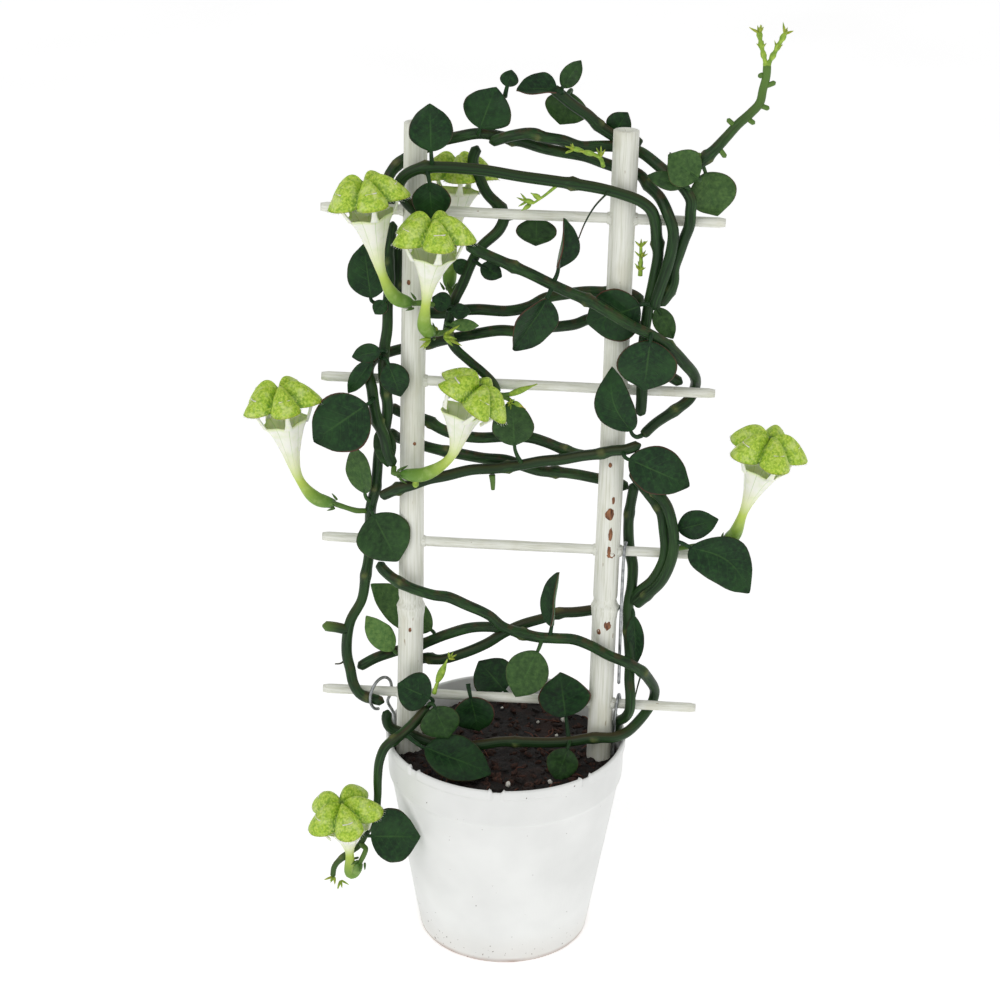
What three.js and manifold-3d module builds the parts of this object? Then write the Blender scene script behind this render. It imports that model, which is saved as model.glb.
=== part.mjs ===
// A potted parachute plant (Ceropegia sandersonii) trained on a white bamboo ladder trellis.
// Units are millimetres, +Z is up, and the origin is the middle of the pot's flat underside.
// The trellis leans a little, so canes, rungs, clips, stems, leaves and flowers sit in one
// turned group and are written in the ladder's own frame: x along the rungs, y front to
// back (the front is minus y) and z up from the foot of the pot.

import * as THREE from 'three';
import { mergeVertices } from 'three/addons/utils/BufferGeometryUtils.js';
import Module from 'manifold-3d';

const wasm = await Module();
wasm.setup();
const radians = THREE.MathUtils.degToRad;

// ---- driving dimensions ----------------------------------------------------------------

const GAP = 0.3;

const POT = {
  height: 110,
  rimRadius: 60,
  footRadius: 43,
  wall: 1.2,
  lipHeight: 5.5,
  lipOut: 1,
  bandHeight: 21,
  bandStep: 1.3,
  grooveHeight: 3,
  hubRadius: 19,
  holeCount: 8,
  holeRadius: 4,
  holeCircle: 31,
};

const SOIL_TOP = 98;

const LADDER = {
  pivotHeight: 100,
  shiftX: -1,
  shiftY: -1,
  leanBack: 2.2,
  leanRight: 0.6,
  turn: -3.7,
};

const CANE = {
  bottom: 86,
  top: 415,
  left: { x: -47.5, foot: 6.4, head: 5.4, joint: 174 },
  right: { x: 47.5, foot: 6.0, head: 5.9, joint: 179 },
  jointBulge: 0.6,
  jointHalf: 5,
  bevel: 0.8,
};

const RUNG = {
  radius: 2.4,
  first: 128,
  spacing: 82,
  count: 4,
  left: -90.9,
  right: 94.4,
};

const WIRE_RADIUS = 0.8;
const STEM_RADIUS = 2.6;
const SHOOT_RADIUS = 1.3;
const PETIOLE_RADIUS = 1.1;
const LEAF_THICKNESS = 1.7;

const FLOWER = {
  pedicelRadius: 1.4,
  bulbRadius: 3.5,
  tubeRadius: 2,
  throatRadius: 9.6,
  wall: 0.9,
  canopyRadius: 20,
  canopyRise: 4.5,
  canopyThickness: 1.1,
  lobes: 5,
  clawRadius: 0.9,
};

// ---- finishes --------------------------------------------------------------------------

const finish = (color, roughness) =>
  new THREE.MeshStandardMaterial({ color, roughness, metalness: 0 });

const FINISH = {
  pot: () => finish('#e6e5e1', 0.45),
  soil: () => finish('#241a15', 0.95),
  cane: () => finish('#dfe0d2', 0.55),
  wire: () => new THREE.MeshStandardMaterial({ color: '#9a9c9e', roughness: 0.35, metalness: 1 }),
  stem: () => finish('#2c4a26', 0.5),
  leaf: () => finish('#2a4b28', 0.45),
  flower: () => finish('#bccf57', 0.5),
};

// ---- solids ----------------------------------------------------------------------------

function toManifold(geometry) {
  const bare = geometry.index ? geometry.toNonIndexed() : geometry.clone();
  bare.deleteAttribute('normal');
  bare.deleteAttribute('uv');
  const merged = mergeVertices(bare, 1e-4);
  return new wasm.Manifold(new wasm.Mesh({
    numProp: 3,
    vertProperties: new Float32Array(merged.attributes.position.array),
    triVerts: new Uint32Array(merged.index.array),
  }));
}

function toGeometry(manifold) {
  const mesh = manifold.getMesh();
  const geometry = new THREE.BufferGeometry();
  geometry.setAttribute('position', new THREE.BufferAttribute(mesh.vertProperties, 3));
  geometry.setIndex(new THREE.BufferAttribute(mesh.triVerts, 1));
  geometry.computeVertexNormals();
  return geometry;
}

function joined(geometries) {
  const solids = geometries.map(toManifold);
  return toGeometry(solids.reduce((whole, next) => whole.add(next)));
}

function cut(geometry, cutters) {
  let whole = toManifold(geometry);
  for (const cutter of cutters) {
    whole = whole.subtract(toManifold(cutter));
  }
  return toGeometry(whole);
}

function turned(profile, segments) {
  const points = profile.map(([radius, height]) => new THREE.Vector2(radius, height));
  return new THREE.LatheGeometry(points, segments).rotateX(Math.PI / 2);
}

function disc(radius, sides) {
  const shape = new THREE.Shape();
  for (let i = 0; i < sides; i += 1) {
    const angle = (i / sides) * Math.PI * 2;
    const [x, y] = [Math.cos(angle) * radius, Math.sin(angle) * radius];
    if (i === 0) {
      shape.moveTo(x, y);
    } else {
      shape.lineTo(x, y);
    }
  }
  shape.closePath();
  return shape;
}

function tube(route, radius, sides = 8, step = 13) {
  const curve = new THREE.CatmullRomCurve3(route.map((p) => new THREE.Vector3(...p)));
  const steps = Math.max(2, Math.round(curve.getLength() / step));
  return new THREE.ExtrudeGeometry(disc(radius, sides), {
    steps,
    extrudePath: curve,
    curveSegments: sides,
    bevelEnabled: false,
  });
}

function rod(radius, from, to, sides) {
  const length = to - from;
  return new THREE.CylinderGeometry(radius, radius, length, sides)
    .rotateZ(Math.PI / 2)
    .translate((from + to) / 2, 0, 0);
}

function ball(centre, radius, sides = 6) {
  return new THREE.SphereGeometry(radius, sides, sides / 2).translate(...centre);
}

// ---- pot and soil ----------------------------------------------------------------------

function wallRadius(z) {
  const bandStart = POT.height - POT.bandHeight;
  const shoulder = POT.rimRadius - POT.lipOut - POT.bandStep;
  return POT.footRadius + (shoulder - POT.footRadius) * Math.min(1, z / bandStart);
}

function potGeometry() {
  const bandStart = POT.height - POT.bandHeight;
  const lipStart = POT.height - POT.lipHeight;
  const band = POT.rimRadius - POT.lipOut;
  const floor = POT.grooveHeight + 1.5;
  const profile = [
    [0, 0],
    [POT.hubRadius, 0],
    [POT.hubRadius + 2, POT.grooveHeight],
    [POT.footRadius - 3, POT.grooveHeight],
    [POT.footRadius - 2, 0],
    [POT.footRadius, 0],
    [wallRadius(bandStart), bandStart],
    [band - 0.2, bandStart + 1.5],
    [band, lipStart],
    [POT.rimRadius, lipStart + 0.5],
    [POT.rimRadius, POT.height - 0.5],
    [POT.rimRadius - 0.5, POT.height],
    [band - POT.wall, POT.height],
    [band - POT.wall - 0.2, bandStart + 1.5],
    [wallRadius(bandStart) - POT.wall, bandStart],
    [wallRadius(floor) - POT.wall, floor],
    [POT.hubRadius + 1, floor],
    [POT.hubRadius - 1, 1.5],
    [0, 1.5],
  ];
  const holes = [];
  for (let i = 0; i < POT.holeCount; i += 1) {
    const angle = ((i + 0.5) / POT.holeCount) * Math.PI * 2;
    const hole = new THREE.CylinderGeometry(POT.holeRadius, POT.holeRadius, 12, 8)
      .rotateX(Math.PI / 2)
      .translate(Math.cos(angle) * POT.holeCircle, Math.sin(angle) * POT.holeCircle, 4);
    holes.push(hole);
  }
  return cut(turned(profile, 36), holes);
}

function soilGeometry(pits) {
  const floor = POT.grooveHeight + 1.5 + GAP;
  const bandStart = POT.height - POT.bandHeight;
  const inside = (z) => wallRadius(z) - POT.wall - 2 * GAP;
  const profile = [
    [0, floor],
    [inside(floor), floor],
    [inside(bandStart) - 0.2, bandStart],
    [inside(bandStart), SOIL_TOP - 3],
    [inside(bandStart) - 3, SOIL_TOP],
    [inside(bandStart) * 0.5, SOIL_TOP + 1],
    [0, SOIL_TOP],
  ];
  return cut(turned(profile, 32), pits);
}

// ---- trellis ---------------------------------------------------------------------------

const rungHeight = (i) => RUNG.first + i * RUNG.spacing;

function caneProfile(cane, grow) {
  const radius = (z) => {
    const along = (z - CANE.bottom) / (CANE.top - CANE.bottom);
    return cane.foot + (cane.head - cane.foot) * along + grow;
  };
  return [
    [0, CANE.bottom - grow],
    [radius(CANE.bottom), CANE.bottom - grow],
    [radius(cane.joint), cane.joint - CANE.jointHalf],
    [radius(cane.joint) + CANE.jointBulge, cane.joint],
    [radius(cane.joint), cane.joint + CANE.jointHalf],
    [radius(CANE.top), CANE.top - CANE.bevel],
    [radius(CANE.top) - CANE.bevel, CANE.top],
    [0, CANE.top],
  ];
}

function caneGeometry(cane) {
  const bores = [];
  for (let i = 0; i < RUNG.count; i += 1) {
    bores.push(rod(RUNG.radius + GAP, -15, 15, 12).translate(0, 0, rungHeight(i)));
  }
  return cut(turned(caneProfile(cane, 0), 16), bores).translate(cane.x, 0, 0);
}

function canePit(cane) {
  return turned(caneProfile(cane, GAP), 16).translate(cane.x, 0, 0);
}

function rungGeometry(i) {
  return rod(RUNG.radius, RUNG.left, RUNG.right, 12).translate(0, 0, rungHeight(i));
}

// ---- galvanised wire clips -------------------------------------------------------------

function ringRoute() {
  const centre = [-61.5, -3.6, 128.5];
  const radius = 8.2;
  const skew = radians(33);
  const route = [];
  for (let i = 0; i <= 12; i += 1) {
    const angle = radians(-50 + i * 26);
    route.push([
      centre[0] + radius * Math.sin(skew) * Math.cos(angle),
      centre[1] + radius * Math.cos(skew) * Math.cos(angle),
      centre[2] + radius * Math.sin(angle),
    ]);
  }
  return [[-55.6, 4, 100], [-55.6, 3.6, 113], ...route];
}

const CLIPS = {
  clip_left: ringRoute(),
  clip_right_low: [[54.6, -3, 100], [54.6, -3, 116], [55, -3.9, 124], [55.6, -3.4, 130],
    [56.2, 0, 132.6], [56.8, 4, 130], [57, 4.6, 124]],
  clip_right_high: [[56, -3, 140], [55.6, -3.6, 165], [55.4, -3.8, 190], [55.5, -4, 208],
    [55.8, -2.6, 213.6], [56.4, 0.8, 214.6]],
};

// ---- stems -----------------------------------------------------------------------------

// Each vine is one piece: its first route is the main strand and the rest fork from it.
const VINES = {
  vine_top_front: [
    [[60, -5, 281], [60, -6, 289], [60, -6, 299], [60, -4, 320], [61.5, -3, 335], [63, -3.5, 347],
      [64.5, -4.5, 359], [63.5, -5.5, 368], [62.5, -7, 375], [60, -9, 381], [55, -9.5, 385],
      [46, -9.5, 388], [37, -9.5, 390], [19, -9, 392], [1, -9, 394], [-17, -9, 396],
      [-35, -10, 397], [-45, -10.5, 396], [-52, -10.5, 392], [-54, -10, 387], [-51, -10, 381],
      [-46, -10, 376], [-35, -10.5, 368], [-25, -11, 362]],
    [[60, -4, 318], [63, -2, 312], [67, 0, 304], [74, 3, 298], [79, 4, 295]],
  ],
  vine_top_back: [
    [[-58, 5.5, 370], [-60, 5.5, 378], [-61, 6, 385], [-59, 8, 390], [-54, 9.8, 395],
      [-47, 9.8, 399], [-39, 6, 404], [-29, 3, 408], [-19, 3, 410], [-9, 3, 409], [0, 4, 407],
      [9, 6, 404], [18, 8, 402], [29, 9, 400], [38, 9.8, 397], [45, 9.8, 395], [54, 7.5, 393],
      [59, 2, 389], [64, -4, 385.5], [68, -8.5, 379], [70.5, -10, 372], [70.5, -10, 364],
      [69, -10, 355], [66.5, -9.8, 346], [64.5, -9.5, 338], [64, -9.5, 334]],
    [[-14, -1, 407], [-3, -3, 411], [4, -2, 412], [11, 0, 410], [19, 4, 408], [27, 7, 405],
      [34, 9, 405], [41, 9.8, 405], [47, 9.8, 404], [54, 8, 403], [62, 4, 399], [68, 0, 395],
      [74, -4, 391], [78, -6, 385], [78, -6.5, 380], [78, -6.5, 374], [76, -6, 367],
      [74, -5.5, 360], [72, -5, 353], [72, -5.5, 347], [69, -7, 340], [66, -9, 336]],
    [[55, 10, 408], [49, 11, 407], [43, 11, 409], [35, 10, 414], [30, 8, 419], [23, 6, 424],
      [18, 5, 428], [13, 4, 432]],
    [[71, -2, 393], [77, -3, 398], [82, -4, 403], [87, -4, 408], [92, -4, 414], [97, -3, 420],
      [102, -3, 425], [106, -3, 430], [107, -3, 436], [108, -3, 442], [108, -3, 448]],
  ],
  vine_inner: [
    [[-20, 9, 403], [-22, 9, 396], [-19, 8, 389], [-15, 7, 381], [-10, 6.5, 376], [-7, 6.5, 371],
      [-9, 6, 365], [-17, 4, 357], [-21, 2, 350], [-25, 0, 340], [-28, -2, 333], [-30, -3, 326],
      [-31, -3, 317], [-28, -3, 310], [-21, -4, 304], [-14, -6, 299], [-9, -7, 294],
      [-7, -8, 289]],
  ],
  vine_middle_front: [
    [[-23, -11, 362], [-13, -10, 357], [-4, -9, 353], [6, -9, 349], [15, -9, 345], [25, -10, 341],
      [35, -13, 338], [45, -15, 333], [54, -15, 328], [63, -15, 324], [71, -12, 318],
      [78, -7, 310], [84, 0, 301], [85, 6.8, 293], [83, 6, 287], [76, 2, 282], [67, -4, 277],
      [61, -10, 273]],
  ],
  vine_cross_upper: [
    [[-56, 9, 359], [-56, 9, 347], [-56, 9, 335], [-53, 9.8, 328], [-48, 9.8, 324], [-41, 8, 323],
      [-33, 5, 324], [-27, 3, 326], [-18, 3, 327], [-4, 3, 327], [6, 5, 329], [13, 6, 333],
      [22, 7, 335], [32, 9, 336], [40, 9.8, 336], [47, 9.8, 336], [53, 8, 336], [59, 6, 333]],
  ],
  vine_cross_middle: [
    [[-55, -11, 252], [-58, -10, 258], [-60, -10.5, 267], [-63, -10, 274], [-65, -9.5, 282],
      [-66, -8.5, 290], [-68, -4, 297], [-66, 2, 301], [-60, 6.5, 303], [-55, 8.8, 304],
      [-49, 9.8, 305],
      [-42, 9.8, 307], [-32, 6, 311], [-18, 4, 315], [-7, 4, 317], [2, 4, 317], [11, 4, 319],
      [21, 5, 320], [28, 6, 321], [34, 8, 323], [41, 9.8, 323], [48, 9.8, 324], [55, 7, 323],
      [58, 5, 321]],
  ],
  vine_cross_lower: [
    [[61, -11, 269], [54, -10.5, 266], [48, -10, 265], [42, -10, 263], [33, -9, 261],
      [23, -7, 258], [14, -5, 256], [4, -4, 253], [-5, -4, 251], [-19, -5, 250], [-31, -7, 247],
      [-38, -9.5, 246], [-46, -10.5, 243], [-52, -10, 241], [-57, -8, 238], [-62, -5, 234]],
    [[-58, 3, 277], [-54, 8, 273], [-48, 9.8, 271], [-41, 8, 269], [-35, 6, 266], [-28, 5, 264],
      [-16, 4, 263], [-1, 3, 265], [8, 3, 265], [16, 2, 263], [23, 0, 261], [30, -3, 260],
      [36, -8, 261]],
  ],
  vine_cross_back: [
    [[-59, 4, 264], [-55, 9, 259], [-48, 9.8, 257], [-41, 9.8, 255], [-30, 7, 254], [-15, 4, 253],
      [-3, 2, 253], [4, 2, 251], [14, 3, 248], [23, 5, 247], [33, 8, 245], [42, 9.8, 243],
      [51, 9.8, 241], [56, 8, 239]],
  ],
  vine_left: [
    [[-58, 5, 367], [-59, 3, 360], [-60, 2, 352], [-59, 2, 340], [-60, 2, 328], [-60, 0, 316],
      [-61, -2, 307], [-61, -5.5, 298], [-60, -5.5, 289], [-59, -4, 280], [-60, -3, 270],
      [-63, -3, 258], [-64, -2, 246], [-65, -1, 237], [-67, 0, 227], [-68, 3.5, 218], [-69, 6.6, 208],
      [-69, 6.6, 198], [-70, 4, 189], [-72, 2, 176], [-77, 0, 166], [-79, 0, 157], [-79, 0, 147],
      [-77, -2, 140], [-75, -5.5, 134], [-72, -6, 129], [-68, -6, 127], [-63, -6.5, 126], [-59.5, -7.5, 125.5]],
    [[-77, 0, 160], [-84, -1, 162], [-91, -2, 163]],
  ],
  vine_right: [
    [[59, 4, 244], [58, 5, 235], [57, 6, 225], [57, 6.5, 216], [58, 6.5, 208], [60, 5, 201],
      [60, 3, 191], [59, 3, 182], [59, 3, 172], [60, 2, 162], [61, 1, 152], [61, -2, 142],
      [62, -6, 135], [62, -6.8, 128], [60, -3.2, 122], [57, 0.5, 118], [56, 4, 114], [54, 8, 108],
      [51, 11, 102], [50, 12, 90]],
    [[59, -5, 254], [64, -7, 250], [69, -9, 245], [75, -10.5, 238], [78, -11, 229],
      [79, -11.5, 219], [78, -11, 210], [74, -9, 199], [68, -5, 190], [62, -1, 182]],
    [[57, 2, 251], [61, 0, 246], [66, -3, 241], [72, -5, 234], [74, -6, 224], [75, -6.5, 215],
      [74, -6, 207], [70, -4, 197], [64, 0, 189], [60, 3, 181]],
  ],
  vine_lower_front: [
    [[-63, -3, 199], [-61, -6, 197], [-56, -9.5, 194], [-52, -10.5, 192], [-47, -11, 190],
      [-41, -11, 188], [-35, -10, 186], [-28, -9, 185], [-18, -9, 181], [-8, -9, 176],
      [-2, -9, 171], [6, -9, 168], [16, -9, 166], [24, -9, 166], [33, -9, 166], [42, -10, 163],
      [50, -10.5, 159], [60, -10, 155], [67, -6, 149], [71, -1, 142], [74, 5.5, 133], [73, 7, 126],
      [70, 5, 121], [65, 0, 116.5], [60, -5.5, 114.5], [54, -9.8, 114], [48, -11, 114], [41, -11, 113],
      [33, -11, 111], [24, -11, 110], [10, -12, 110], [-1, -13, 110], [-11, -14, 108],
      [-21, -15, 107], [-31, -15, 108], [-38, -14, 109], [-46, -12, 111], [-52, -10, 111],
      [-56.5, -9.5, 113], [-58, -9, 117], [-57.3, -8.5, 121.8]],
  ],
  vine_lower_back: [
    [[-74, 2, 139], [-66, 5, 143], [-59, 8, 145], [-55, 9.8, 146], [-49, 9.8, 148],
      [-43, 9.8, 150], [-30, 6, 158], [-18, 2, 164], [-8, -2, 167], [-2, -3, 167]],
    [[55, 9.5, 176], [50, 9.8, 175], [44, 9.8, 174], [33, 7, 173], [26, 5, 173], [18, 3, 171],
      [9, 0, 169], [-1, -1, 164], [-10, 2, 156], [-22, 4, 149], [-33, 6, 144], [-41, 9, 143],
      [-47, 10.5, 139], [-49, 10.5, 130], [-49, 10.5, 118], [-49, 10.5, 107], [-49, 10.5, 90]],
  ],
  trailing_shoot: [
    [[-37, -14, 128], [-41, -17, 123], [-48, -22, 117], [-52, -25, 114.5], [-56.5, -27.5, 111.5],
      [-59, -29, 105], [-60, -29, 94], [-60, -29, 84], [-61, -29, 73], [-65, -30, 65], [-69, -31, 57],
      [-76, -31, 51], [-81, -31, 45], [-82, -31, 38]],
  ],
};

// Thin flowering twigs that end the tall tip of the top vine.
const TWIGS = {
  vine_top_back: [
    [[108, -3, 447], [105, -3, 456], [103, -3, 464]],
    [[108, -3, 447], [112, -3, 455], [116, -3, 464]],
  ],
};

function vineGeometry(name) {
  const strands = VINES[name].map((route) => tube(route, STEM_RADIUS));
  const twigs = (TWIGS[name] ?? []).map((route) => tube(route, SHOOT_RADIUS, 6));
  return joined([...strands, ...twigs]);
}

const SOIL_STEMS = [
  [[54, 8, 108], [51, 11, 102], [50, 12, 90], [50, 12, 86]],
  [[-49, 10.5, 107], [-49, 10.5, 86]],
];

// ---- leaves ----------------------------------------------------------------------------

// base: where the petiole leaves the stem; tip: end of the midrib; width: across the blade
// lying flat; face: the way the upper side looks; fold: how far the halves rise from the
// midrib; bow: how far the middle of the midrib swings to the left of base-to-tip.
const FRONT = [0, -1, 0.3];
const LEAVES = {
  leaf_01: { base: [-39, -13.4, 402], tip: [-40, -14, 426], width: 20, face: FRONT },
  leaf_02: { base: [-40, -14, 393], tip: [-38, -14.5, 373], width: 18, face: FRONT },
  leaf_03: { base: [-67, -1, 329], tip: [-71, -1, 357], width: 20, face: FRONT },
  leaf_04: { base: [-65, -15, 286], tip: [-93, -17, 265], width: 29, face: FRONT },
  leaf_05: { base: [-19, -1, 411], tip: [-12, -2, 432], width: 23, face: FRONT },
  leaf_06: { base: [18, 1, 431], tip: [-2, -3, 433], width: 15, face: [0, -0.6, 1], fold: 0.5 },
  leaf_07: { base: [22, 13, 430], tip: [17, 13, 413], width: 20, face: FRONT },
  leaf_08: { base: [82, -10, 395], tip: [67, -13, 407], width: 18, face: FRONT },
  leaf_09: { base: [83, 2, 399], tip: [91, 2, 376], width: 22, face: FRONT },
  leaf_10: { base: [8, 9, 372], tip: [8, 8, 357], width: 19, face: FRONT },
  leaf_11: { base: [19, -9, 349], tip: [23, -9, 375], width: 16, face: [1, -0.6, 0], fold: 0.6 },
  leaf_12: { base: [16, -11.5, 341], tip: [1, -15, 313], width: 24, face: [0.9, -1, 0], fold: 0.4 },
  leaf_13: { base: [60, -8.7, 337], tip: [33, -8.7, 326], width: 26, face: [0, -1, 0], fold: 0.02 },
  leaf_14: { base: [63, -19, 325], tip: [61, -15, 296], width: 28, face: FRONT },
  leaf_15: { base: [57, -14, 274], tip: [46, -15, 307], width: 18, face: FRONT, fold: 0.3, bow: 4 },
  leaf_16: { base: [53, -15, 264], tip: [85, -13, 250], width: 23, face: FRONT },
  leaf_17: { base: [84, -14, 221], tip: [116, -19, 199], width: 24, face: [0, -1, 0.2], bow: 6 },
  leaf_18: { base: [22, -10, 170], tip: [23, -12, 202], width: 14, face: [-1, -0.5, 0], fold: 0.6 },
  leaf_19: { base: [17, -12.5, 163], tip: [6, -18, 137], width: 21, face: FRONT },
  leaf_20: { base: [31, -5, 119.5], tip: [27, -7.5, 146], width: 26, face: FRONT },
  leaf_21: { base: [-34, -15, 132], tip: [-52, -16, 140], width: 20, face: FRONT },
  leaf_22: { base: [-34, -20.5, 133], tip: [-26, -22.5, 115], width: 20, face: FRONT },
  leaf_23: { base: [-17, -9, 134], tip: [-12, -7, 111], width: 21, face: FRONT },
  leaf_24: { base: [-40, -24, 111], tip: [-4, -32, 103], width: 24, face: [0, -0.7, 1] },
  leaf_25: { base: [-67, -4, 227], tip: [-53, -11, 203], width: 27, face: FRONT },
  leaf_26: { base: [-69, -4, 232], tip: [-75, -6, 259], width: 15, face: [-0.5, -1, 0] },
  leaf_27: { base: [-59, -10, 305], tip: [-52, -11, 287], width: 14, face: FRONT },
  leaf_28: { base: [-36, 12, 155], tip: [-69, 14, 179], width: 19, face: FRONT },
  leaf_29: { base: [-65, -36, 66], tip: [-38, -40, 69], width: 28, face: FRONT },
};

function halfWidth(along) {
  return Math.pow(Math.sin(Math.PI * Math.pow(along, 0.72)), 0.75) / 2;
}

function leafGeometry({ base, tip, width, face, fold = 0.12, bow = 0 }) {
  const start = new THREE.Vector3(...base);
  const along = new THREE.Vector3(...tip).sub(start);
  const reach = along.length();
  const petiole = Math.min(3, reach * 0.12);
  const blade = new THREE.SphereGeometry(1, 8, 6);
  const spot = new THREE.Vector3();
  const places = blade.attributes.position;
  for (let i = 0; i < places.count; i += 1) {
    spot.fromBufferAttribute(places, i);
    const ring = Math.hypot(spot.x, spot.z);
    const t = (spot.y + 1) / 2;
    const half = width * halfWidth(t);
    const across = ring > 1e-6 ? (spot.x / ring) * half : 0;
    const up = (spot.z * LEAF_THICKNESS) / 2;
    const lift = fold * Math.abs(across);
    const swing = bow * Math.sin(Math.PI * t);
    places.setXYZ(i, across - swing, petiole + t * (reach - petiole), up + lift);
  }
  const stalk = tube([[0, 0, 0], [0, petiole + 2, 0]], PETIOLE_RADIUS, 6, 20);
  const yAxis = along.normalize();
  const xAxis = new THREE.Vector3().crossVectors(yAxis, new THREE.Vector3(...face)).normalize();
  const zAxis = new THREE.Vector3().crossVectors(xAxis, yAxis);
  const place = new THREE.Matrix4().makeBasis(xAxis, yAxis, zAxis).setPosition(start);
  return joined([blade, stalk]).applyMatrix4(place);
}

// ---- flowers ---------------------------------------------------------------------------

// foot: the pedicel on the stem; heel and bulb: ends of the swollen base; waist: top of the
// narrow tube; mouth: middle of the funnel's mouth; crown: middle of the canopy's top.
const FLOWERS = {
  flower_1: { foot: [-43, -13.5, 334], heel: [-47, -14.5, 334], bulb: [-54, -17, 337],
    waist: [-60, -22, 350], mouth: [-65, -27, 379], crown: [-67, -28, 391] },
  flower_2: { foot: [-32, -12, 320], heel: [-37, -18, 321], bulb: [-40, -24, 326],
    waist: [-39, -29, 340], mouth: [-36, -33, 363], crown: [-36, -34, 376] },
  flower_3: { foot: [-74, -2, 225], heel: [-85, -4, 229], bulb: [-93, -6, 232],
    waist: [-101, -8, 243], mouth: [-107, -11, 273], crown: [-109, -12, 287] },
  flower_4: { foot: [-55, -14, 250], heel: [-51, -15, 250], bulb: [-40, -19, 252],
    waist: [-27, -22, 263], mouth: [-22, -23, 286], crown: [-15, -23, 297] },
  flower_5: { foot: [101, -3.5, 218], heel: [104, -4.5, 220], bulb: [107, -6, 223],
    waist: [111, -11, 238], mouth: [118, -16, 263], crown: [120, -18, 276] },
  flower_6: { foot: [-65, -35, 58], heel: [-68, -35, 50], bulb: [-72, -35, 44],
    waist: [-73, -36, 56], mouth: [-74, -37, 71], crown: [-76, -41, 85] },
  flower_7: { foot: [-30, 8, 331], heel: [-32, 10, 335], bulb: [-32, 12, 341],
    waist: [-31, 15, 357], mouth: [-30, 17, 380], crown: [-30, 18, 392], spin: -6 },
};

function canopyGeometry(rise) {
  const { canopyRadius, canopyRise, canopyThickness, lobes } = FLOWER;
  const canopy = new THREE.SphereGeometry(1, lobes * 4, 4);
  const places = canopy.attributes.position;
  const spot = new THREE.Vector3();
  for (let i = 0; i < places.count; i += 1) {
    spot.fromBufferAttribute(places, i);
    const ring = Math.hypot(spot.x, spot.z);
    const angle = Math.atan2(spot.z, spot.x);
    const lobe = 0.76 + 0.24 * Math.cos(lobes * angle);
    const x = spot.x * canopyRadius * lobe;
    const y = -spot.z * canopyRadius * lobe;
    const dome = -canopyRise * ring * ring;
    places.setXYZ(i, x, y, rise + dome + (spot.y * canopyThickness) / 2);
  }
  return canopy;
}

function funnelGeometry(depth) {
  const { tubeRadius, throatRadius, wall } = FLOWER;
  const middle = (tubeRadius + throatRadius) * 0.42;
  return turned([
    [0, -depth],
    [tubeRadius, -depth],
    [middle, -depth * 0.35],
    [throatRadius, 0],
    [throatRadius - wall, 0],
    [middle - wall, -depth * 0.3],
    [0, -depth * 0.7],
  ], 12);
}

function clawRoute(angle, rise) {
  const at = (radius, height) => [Math.cos(angle) * radius, Math.sin(angle) * radius, height];
  const low = FLOWER.throatRadius - 0.5;
  return [at(low, -1), at(low + 3.5, rise * 0.4), at(low + 5, rise - 2.6)];
}

function flowerGeometry({ foot, heel, bulb, waist, mouth, crown, spin = 0 }) {
  const centre = new THREE.Vector3(...mouth);
  const axis = new THREE.Vector3(...crown).sub(centre);
  const rise = axis.length();
  const depth = centre.distanceTo(new THREE.Vector3(...waist));
  const turn = new THREE.Quaternion()
    .setFromUnitVectors(new THREE.Vector3(0, 0, 1), axis.normalize());
  const head = [canopyGeometry(rise)];
  for (let i = 0; i < FLOWER.lobes; i += 1) {
    head.push(tube(clawRoute((i / FLOWER.lobes) * Math.PI * 2, rise), FLOWER.clawRadius, 4, 12));
  }
  for (const piece of head) {
    piece.rotateZ(radians(spin)).applyQuaternion(turn).translate(...mouth);
  }
  const throat = new THREE.Quaternion().setFromUnitVectors(
    new THREE.Vector3(0, 0, 1),
    centre.clone().sub(new THREE.Vector3(...waist)).normalize(),
  );
  const funnel = funnelGeometry(depth).applyQuaternion(throat).translate(...mouth);
  const below = new THREE.Vector3(...waist).lerp(centre, 0.15).toArray();
  return joined([
    ...head,
    funnel,
    tube([foot, heel, bulb], FLOWER.pedicelRadius, 6, 12),
    tube([heel, bulb], FLOWER.bulbRadius, 8, 20),
    ball(heel, FLOWER.bulbRadius),
    ball(bulb, FLOWER.bulbRadius),
    tube([bulb, waist, below], FLOWER.tubeRadius, 8, 8),
  ]);
}

// ---- assembly --------------------------------------------------------------------------

function piece(name, geometry, material) {
  const mesh = new THREE.Mesh(geometry, material);
  mesh.name = name;
  return mesh;
}

const plant = new THREE.Group();
const ladder = new THREE.Group();
const ladderFrame = new THREE.Group();
ladder.position.set(LADDER.shiftX, LADDER.shiftY, LADDER.pivotHeight);
ladder.rotation.set(
  -radians(LADDER.leanBack),
  radians(LADDER.leanRight),
  radians(LADDER.turn),
  'ZXY',
);
ladderFrame.position.set(0, 0, -LADDER.pivotHeight);
ladder.add(ladderFrame);
plant.add(ladder);
plant.updateMatrixWorld(true);

const pits = [
  canePit(CANE.left),
  canePit(CANE.right),
  ...SOIL_STEMS.map((route) => tube(route, STEM_RADIUS + 2 * GAP)),
];
for (const pit of pits) {
  pit.applyMatrix4(ladderFrame.matrixWorld);
}

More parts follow.
